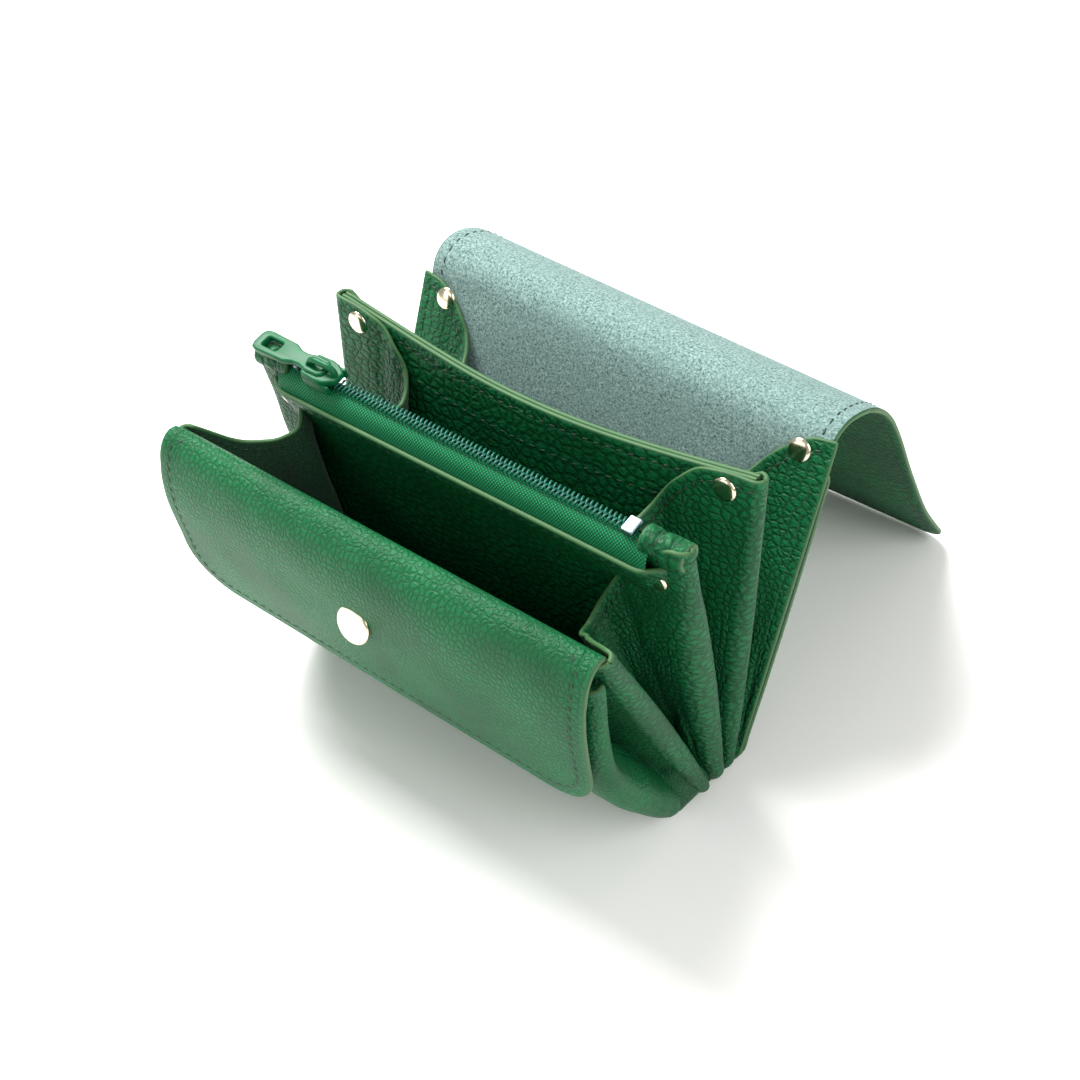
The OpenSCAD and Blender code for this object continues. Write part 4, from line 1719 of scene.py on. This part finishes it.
@dataclass
class Zip:
    """Zip pocket: two leather walls, sloping tape, coil, stops, leather end rolls, slider and pull."""

    layout: Layout
    palette: Palette
    layer: float = 1.25
    half: float = 61.4
    wall_top: float = 89.0
    spreads: tuple[float, float] = (5.9, 1.5)
    crown: float = 94.2
    coil_half: float = 51.0
    coil_pitch: float = 1.25
    roll_in: float = 52.6

    def build(self) -> None:
        """Builds the pocket from the walls up."""
        for k, side in ((1, "front"), (-1, "rear")):
            self.build_wall(k, f"zip_{side}_wall", f"zip_pocket_{side}")
            self.build_tape(k)
            self.build_coil(k)
        self.build_rolls()
        self.build_stops()
        self.build_slider()
        self.build_pull()

    def place(self, x: float, out: float, up: float) -> np.ndarray:
        """Point on the pocket: along it, out of its front and up it."""
        y, z = self.layout.zip.at(up, out)
        return np.array([x, y, z])

    def build_wall(self, k: int, name: str, node: str) -> None:
        """Builds one leather wall, whose top leans out to the tape's foot.

        Args:
            k: 1 for the front wall, -1 for the rear wall.
            name: The new piece's name.
            node: The node that it stands for.
        """
        spread = self.spreads[0 if k > 0 else 1]
        line = curve_through(
            [(1.2, 1.0), (1.2, 40.0), (1.3, 66.0), (0.5 + spread * 0.4, 78.0), (spread, self.wall_top)], 60
        )
        cols = 78
        x = np.linspace(-self.half, self.half, cols)
        ends = smooth((self.half - np.abs(x)) / 9)
        out = (1.2 + (line[:, :1] - 1.2) * ends[None, :]) * k
        up = np.broadcast_to(line[:, 1:], out.shape)
        flat = np.stack([np.broadcast_to(x, out.shape), up], axis=-1)
        hide = Hide(name, flat, self.layout.zip.sheet(x, up, out), self.layer, k < 0)
        obj = hide.build(self.palette.leather, self.palette.lining, self.palette.cut)
        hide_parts(node)
        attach(obj, "zip_pocket")
        up, x = self.wall_top - 2.4, self.half - 10
        path = np.array([[-x, up], [x, up]])
        seam = Seam(sides=(1,)).sew(f"{name}_seam", hide, path)
        dress(seam, self.palette.thread)
        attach(seam, "zip_pocket")

    def build_tape(self, k: int) -> None:
        """Woven tape that slopes from under the leather up to the coil."""
        spread = self.spreads[0 if k > 0 else 1]
        line = curve_through(
            [
                (max(spread - 1.7, 0.4), self.wall_top - 6),
                (max(spread - 0.9, 0.5), self.wall_top),
                (spread * 0.5 + 0.3, self.crown - 1.5),
                (0.35, self.crown),
            ],
            20,
        )
        x = np.linspace(-self.roll_in - 2, self.roll_in + 2, 100)
        shaped = np.array([[self.place(a, p[0] * k, p[1]) for a in x] for p in line])
        flat = np.stack(np.broadcast_arrays(x[None, :], lengths(line)[:, None]), axis=-1)
        name = "zip_tape_front_side" if k > 0 else "zip_tape_rear_side"
        hide = Hide(name, flat, shaped, 0.5, k < 0)
        obj = hide.build(self.palette.tape, self.palette.tape, self.palette.tape)
        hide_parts("zip_tape_front" if k > 0 else "zip_tape_rear")
        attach(obj, "zip_pocket")
        up = lengths(line)[-1] - 1.5
        row = np.array([[-self.coil_half, up], [self.coil_half, up]])
        seam = Seam(pitch=1.25, stitch=1.0, thread=0.16, slant=0, sides=(1,)).sew(f"{name}_seam", hide, row)
        dress(seam, self.palette.tape)
        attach(seam, "zip_pocket")

    def build_coil(self, k: int) -> None:
        """One row of the coil: a flattened spiral with its loops linked into the other row's."""
        turns = int(2 * self.coil_half / self.coil_pitch)
        count = turns * 12
        t = np.arange(count + 1) / 12
        a = t * math.tau
        x = -self.coil_half + (t + (0.25 if k > 0 else -0.25)) * self.coil_pitch
        out = k * (0.62 + 0.86 * np.cos(a))
        up = self.crown + 0.6 + 0.42 * np.sin(a)
        path = np.array([self.place(*p) for p in zip(x, out, up, strict=True)])
        obj = tube("zip_coil_front_row" if k > 0 else "zip_coil_rear_row", path, 0.27, 6)
        dress(obj, self.palette.coil)
        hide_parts("zip_teeth_front" if k > 0 else "zip_teeth_rear")
        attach(obj, "zip_pocket")

    def build_rolls(self) -> None:
        """Leather wrapped round both ends of the zip, each with a stitched waist."""
        for hand in Hand:
            cols = 30
            x = np.linspace(self.roll_in, self.half + 1.4, cols)
            waist_at = self.roll_in + 3.4
            waist = 1 - 0.16 * np.exp(-(((x - self.roll_in - 3.4) / 0.9) ** 2))
            turn = np.linspace(-2.35, 2.35, 30)
            shaped = np.zeros((len(turn), cols, 3))
            for i, a in enumerate(turn):
                for j in range(cols):
                    out = 2.75 * math.sin(a) * waist[j]
                    up = self.wall_top + 4.4 + 2.6 * math.cos(a) * waist[j]
                    shaped[i, j] = self.place(x[j] * hand.value, out, up)
            flat = np.stack(np.broadcast_arrays(x[None, :], (turn * 2.7)[:, None]), axis=-1)
            name = f"zip_end_roll_{hand.name.lower()}"
            hide = Hide(name, flat.copy(), shaped, self.layer, hand is Hand.RIGHT)
            obj = hide.build(self.palette.leather, self.palette.lining, self.palette.cut)
            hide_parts(f"zip_end_tab_{hand.name.lower()}")
            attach(obj, "zip_pocket")
            path = np.array([[waist_at, -5.5], [waist_at, 5.5]])
            seam = Seam(pitch=2.6, sides=(1,)).sew(f"{name}_seam", hide, path)
            dress(seam, self.palette.thread)
            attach(seam, "zip_pocket")

    def build_stops(self) -> None:
        """Crimped metal stops at both ends of the coil."""
        for name, x, length, width, node in (
            ("zip_bottom_stop_clip", self.coil_half - 2.2, 3.2, 4.4, "zip_bottom_stop"),
            ("zip_top_stop_clip", -self.coil_half + 1.0, 1.7, 3.2, "zip_top_stop"),
        ):
            obj = plate(name, [rounded(length, width, 0.5)], 1.0, 0.35)
            self.stand(obj, x, self.crown + 1.2)
            dress(obj, self.palette.clip)
            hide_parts(node)
            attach(obj, "zip_pocket")

    def stand(self, obj: bpy.types.Object, x: float, up: float, out: float = 0.0) -> None:
        """Turns a flat part to lie across the pocket's top, with its own X along the zip.

        Args:
            obj: The part.
            x: Place along the zip, in mm.
            up: Distance up the pocket.
            out: Distance out of its front.
        """
        turn = Matrix.Rotation(-self.layout.zip.tilt, 4, "X")
        obj.data.transform(Matrix.Translation(Vector(self.place(x, out, up)) * MM) @ turn)

    def slider_x(self) -> float:
        """Where the slider stands along the zip at rest, in mm."""
        low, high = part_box("zip_slider")
        return (low[0] + high[0]) / 2 / MM

    def build_slider(self) -> None:
        """Slider: domed top plate, wings down both sides and a bridge."""
        x = self.slider_x()
        body = [(-5.2, 2.4), (-4.4, 3.5), (0.0, 3.7), (2.4, 3.3), (4.2, 2.2), (5.2, 1.6)]
        outline = body + [(px, -py) for px, py in body[::-1]]
        top = plate("slider_top_plate", [outline], 1.7, 0.5)
        self.stand(top, x, self.crown + 2.7)
        parts = [top]
        for k in (-1, 1):
            wing = plate(f"slider_wing_{'rear' if k < 0 else 'front'}", [rounded(8.6, 0.9, 0.3)], 2.6, 0.25)
            self.stand(wing, x - 0.4, self.crown + 0.9, k * 3.2)
            parts.append(wing)
        arch = ((-3.9, 0), (-3.8, 1.7), (-2.9, 2.5), (0, 2.75), (2.9, 2.5), (3.8, 1.6), (4.0, 0))
        path = [self.place(x + px, 0, self.crown + 2.9 + pz) for px, pz in arch]
        bridge = tube("slider_bridge", curve_through(path, 24), 0.85, 10)
        parts.append(bridge)
        for part in parts:
            dress(part, self.palette.enamel)
            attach(part, "zip_slider")
        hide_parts("zip_slider")
        log.info("slider: %d parts", len(parts))

    def build_pull(self) -> None:
        """Pull tab with a round eye on the bridge, a waist and a window near its tip."""
        edge = [(1.6, 0.0), (1.2, 1.9), (0.0, 2.6), (-3.6, 2.7), (-6.2, 2.0), (-8.4, 2.1)]
        edge += [(-11.0, 3.1), (-19.6, 3.4), (-21.4, 2.9), (-22.0, 1.6)]
        outline = edge + [(px, -py) for px, py in edge[::-1]]
        window = [(px - 16.8, py) for px, py in rounded(5.2, 3.0, 0.6)]
        eye = [(px - 2.2, py) for px, py in rounded(4.6, 2.6, 1.0)]
        pull = plate("pull_tab_body", [outline, window, eye], 1.7, 0.5)
        y, z = joint_place("pull_tab_lift")
        turn = Matrix.Rotation(-self.layout.zip.tilt, 4, "X")
        pull.data.transform(Matrix.Translation(Vector((self.slider_x(), y, z)) * MM) @ turn)
        dress(pull, self.palette.enamel)
        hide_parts("zip_pull_tab")
        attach(pull, "pull_tab")
        log.info("pull tab built")


def rounded(length: float, width: float, radius: float) -> list[Point2]:
    """Outline of a rectangle with rounded corners, centred on its middle."""
    result = []
    for sx, sy, a0 in ((1, 1, 0.0), (-1, 1, 90.0), (-1, -1, 180.0), (1, -1, 270.0)):
        for a in np.linspace(a0, a0 + 90, 5):
            x = sx * (length / 2 - radius) + radius * math.cos(math.radians(a))
            y = sy * (width / 2 - radius) + radius * math.sin(math.radians(a))
            result.append((x, y))
    return result


def plate(
    name: str, outlines: Sequence[Sequence[Point2]], thickness: float, bevel: float
) -> bpy.types.Object:
    """A flat part with rounded rims, cut from outlines: the first is its rim and the others are holes.

    Args:
        name: The new piece's name.
        outlines: Closed outlines in mm.
        thickness: Its full thickness in mm.
        bevel: Radius of its rims in mm.

    Returns:
        The new mesh object, centred on its outlines' plane.
    """
    curve = bpy.data.curves.new(name, "CURVE")
    curve.dimensions = "2D"
    curve.fill_mode = "BOTH"
    curve.extrude = (thickness / 2 - bevel) * MM
    curve.bevel_depth = bevel * MM
    curve.bevel_resolution = 3
    curve.offset = -bevel * MM
    for outline in outlines:
        spline = curve.splines.new("POLY")
        spline.points.add(len(outline) - 1)
        for point, (x, y) in zip(spline.points, outline, strict=True):
            point.co = (x * MM, y * MM, 0, 1)
        spline.use_cyclic_u = True
    holder = bpy.data.objects.new(name + "_outline", curve)
    bpy.context.scene.collection.objects.link(holder)
    mesh = bpy.data.meshes.new_from_object(holder.evaluated_get(bpy.context.evaluated_depsgraph_get()))
    bpy.data.objects.remove(holder)
    bpy.data.curves.remove(curve)
    bm = bmesh.new()
    bm.from_mesh(mesh)
    bmesh.ops.remove_doubles(bm, verts=bm.verts, dist=1e-6)
    bmesh.ops.recalc_face_normals(bm, faces=bm.faces)
    bm.to_mesh(mesh)
    bm.free()
    mesh.name = name
    obj = bpy.data.objects.new(name, mesh)
    bpy.context.scene.collection.objects.link(obj)
    mesh.shade_smooth()
    mesh.set_sharp_from_angle(angle=math.radians(40))
    return obj


def tube(name: str, path: np.ndarray, radius: float, sides: int) -> bpy.types.Object:
    """A round bar along a path.

    Args:
        name: The new piece's name.
        path: Points of its middle line, in mm.
        radius: Its radius in mm.
        sides: How many steps there are round it.

    Returns:
        The new object.
    """
    along = np.gradient(path, axis=0)
    along /= np.linalg.norm(along, axis=1, keepdims=True)
    ref = np.array([1.0, 0.0, 0.0]) if abs(along[0][0]) < 0.9 else np.array([0.0, 0.0, 1.0])
    points, faces = [], []
    for p, t in zip(path, along, strict=True):
        u = ref - t * (ref @ t)
        u /= np.linalg.norm(u)
        ref = u
        w = np.cross(t, u)
        for a in np.arange(sides) * math.tau / sides:
            points.append(p + radius * (u * math.cos(a) + w * math.sin(a)))
    for i in range(len(path) - 1):
        for m in range(sides):
            a, b = i * sides + m, i * sides + (m + 1) % sides
            faces.append((a, b, b + sides, a + sides))
    faces.append(tuple(range(sides - 1, -1, -1)))
    faces.append(tuple((len(path) - 1) * sides + m for m in range(sides)))
    return make_mesh(name, np.array(points), faces)


def turned(
    name: str, profile: Sequence[Point2], centre: np.ndarray, axis: np.ndarray, segments: int = 48
) -> bpy.types.Object:
    """A turned part: a profile of (radius, height) spun about an axis.

    Args:
        name: The new piece's name.
        profile: Points from the lowest ring to the highest, in mm, both off the axis.
        centre: Where the axis starts, in mm.
        axis: Unit direction of the axis.
        segments: How many steps there are round it.

    Returns:
        The new object.
    """
    side = np.array([1.0, 0.0, 0.0])
    other = np.cross(axis, side)
    points, faces = [], []
    for r, h in profile:
        for a in np.arange(segments) * math.tau / segments:
            points.append(centre + axis * h + r * (side * math.cos(a) + other * math.sin(a)))
    for i in range(len(profile) - 1):
        for m in range(segments):
            a, b = i * segments + m, i * segments + (m + 1) % segments
            faces.append((a, b, b + segments, a + segments))
    faces.append(tuple(range(segments - 1, -1, -1)))
    faces.append(tuple((len(profile) - 1) * segments + m for m in range(segments)))
    return make_mesh(name, np.array(points), faces)


@dataclass
class Hardware:
    """Domed rivets on the three walls, and the snap on the front flap."""

    layout: Layout
    palette: Palette
    rivet: float = 3.1
    rise: float = 1.25

    def dome(self, radius: float, rise: float) -> list[Point2]:
        """Profile of a pressed cap: a short rolled rim, then a shallow dome."""
        rim = [(radius - 0.15, 0.0), (radius, 0.15), (radius, 0.35), (radius - 0.12, 0.5)]
        steps = [math.radians(a) for a in (15, 30, 45, 60, 70, 79, 86)]
        return rim + [((radius - 0.1) * math.cos(a), 0.45 + (rise - 0.45) * math.sin(a)) for a in steps]

    def build(self) -> None:
        """Builds the caps and gives the posts and the snap's halves their plating."""
        for wall, node, body in (
            (self.layout.back, "rivet_caps_back", "back"),
            (self.layout.divider, "rivet_caps_divider", "divider"),
            (self.layout.zip, "rivet_caps_zip", "zip_pocket"),
        ):
            low, high = (np.array(v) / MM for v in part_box(node))
            middle = (low + high) / 2
            across = high[0] - self.rivet
            for hand in Hand:
                centre = np.array([across * hand.value, middle[1], middle[2]]) - wall.front() * 0.9
                name = f"rivet_cap_{body}_{hand.name.lower()}"
                obj = turned(name, self.dome(self.rivet, self.rise), centre, wall.front())
                dress(obj, self.palette.nickel)
                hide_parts(node)
                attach(obj, body)
        self.build_snap()
        posts = ("rivet_posts_back", "rivet_posts_divider", "rivet_posts_zip")
        for node in posts + ("snap_socket", "snap_stud", "snap_post"):
            dress(frame["nodes"][node], self.palette.nickel)
        log.info("rivets and snap built")

    def build_snap(self) -> None:
        """Flat-domed cap of the snap."""
        low, high = (np.array(v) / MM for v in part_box("snap_cap"))
        lean = math.radians(10)
        axis = np.array([0.0, -math.cos(lean), math.sin(lean)])
        middle = (low + high) / 2
        centre = np.array([0.0, low[1] + 0.95, middle[2]])
        rim = [(4.6, 0.0), (4.85, 0.2), (4.85, 0.5), (4.6, 0.75)]
        crown = [(4.1, 0.92), (3.0, 1.05), (1.5, 1.12), (0.5, 1.15)]
        obj = turned("snap_cap_dome", rim + crown, centre, axis, 64)
        dress(obj, self.palette.nickel)
        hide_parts("snap_cap")
        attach(obj, "front_flap")


@dataclass(frozen=True)
class Studio:
    """White sweep, soft lights and the camera."""

    azimuth: float = 38.63
    elevation: float = 39.75
    distance: float = 412.7
    target: tuple[float, float, float] = (-11.8, 16.1, 30.0)
    lens: float = 50.2

    def build(self) -> None:
        """Sets up floor, world, lights and camera."""
        scene = bpy.context.scene
        far = 3000.0
        corners = np.array([(-far, -far, 0), (far, -far, 0), (far, far, 0), (-far, far, 0)])
        floor = make_mesh("floor", corners, [(0, 1, 2, 3)])
        material, tree = fresh("white_paper_sweep")
        place = add_node(tree, "ShaderNodeTexCoord").outputs["Object"]
        speck = add_node(tree, "ShaderNodeTexNoise", {"Scale": 40.0}, {"Vector": place})
        colour = add_node(
            tree,
            "ShaderNodeMix",
            {"data_type": "RGBA", 6: linear("#fbfaf6"), 7: linear("#fdfdfb")},
            {0: speck.outputs["Fac"]},
        ).outputs[2]
        finish_surface(tree, {"Roughness": 0.8}, {"Base Color": colour})
        dress(floor, material)
        floor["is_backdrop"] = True
        world = bpy.data.worlds.new("studio")
        world.use_nodes = True
        background = world.node_tree.nodes["Background"]
        background.inputs["Color"].default_value = (1.0, 1.0, 1.0, 1.0)
        background.inputs["Strength"].default_value = 0.5
        scene.world = world
        self.lamp("key", (-0.5, 0.05, 0.85), 0.5, 19.0)
        self.lamp("front_fill", (-0.35, -0.9, 0.45), 0.8, 3.2)
        self.lamp("side_fill", (0.75, -0.1, 0.6), 0.7, 5.0)
        self.add_camera()

    def lamp(self, name: str, place: tuple[float, float, float], size: float, power: float) -> None:
        """Adds a square soft light that faces the purse.

        Args:
            name: Its name.
            place: Where it hangs, in metres.
            size: Its side in metres.
            power: Its power in watts.
        """
        data = bpy.data.lights.new(name, "AREA")
        data.size = size
        data.energy = power
        obj = bpy.data.objects.new(name, data)
        obj.location = place
        obj.rotation_euler = (Vector((0, 0, 0.04)) - Vector(place)).to_track_quat("-Z", "Y").to_euler()
        bpy.context.scene.collection.objects.link(obj)

    def add_camera(self) -> None:
        """Places the camera on its sphere round the target."""
        a, e = math.radians(self.azimuth), math.radians(self.elevation)
        back = Vector((math.sin(a) * math.cos(e), -math.cos(a) * math.cos(e), math.sin(e)))
        data = bpy.data.cameras.new("camera")
        data.lens = self.lens
        data.sensor_width = 36.0
        data.clip_start = 0.01
        obj = bpy.data.objects.new("camera", data)
        obj.location = (Vector(self.target) + back * self.distance) * MM
        obj.rotation_euler = (-back).to_track_quat("-Z", "Y").to_euler()
        bpy.context.scene.collection.objects.link(obj)
        bpy.context.scene.camera = obj


def main() -> None:
    """Builds every sub-assembly in order."""
    logging.basicConfig(level=logging.INFO, format="%(name)s: %(message)s")
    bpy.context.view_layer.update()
    layout = Layout()
    palette = Palette()
    OuterShell(layout, palette).build()
    Divider(layout, palette).build()
    FrontPocket(layout, palette).build()
    Bellows(layout, palette).build()
    Zip(layout, palette).build()
    Hardware(layout, palette).build()
    Studio().build()
    bpy.context.scene.view_settings.view_transform = "Standard"


if __name__ == "__main__":
    main()
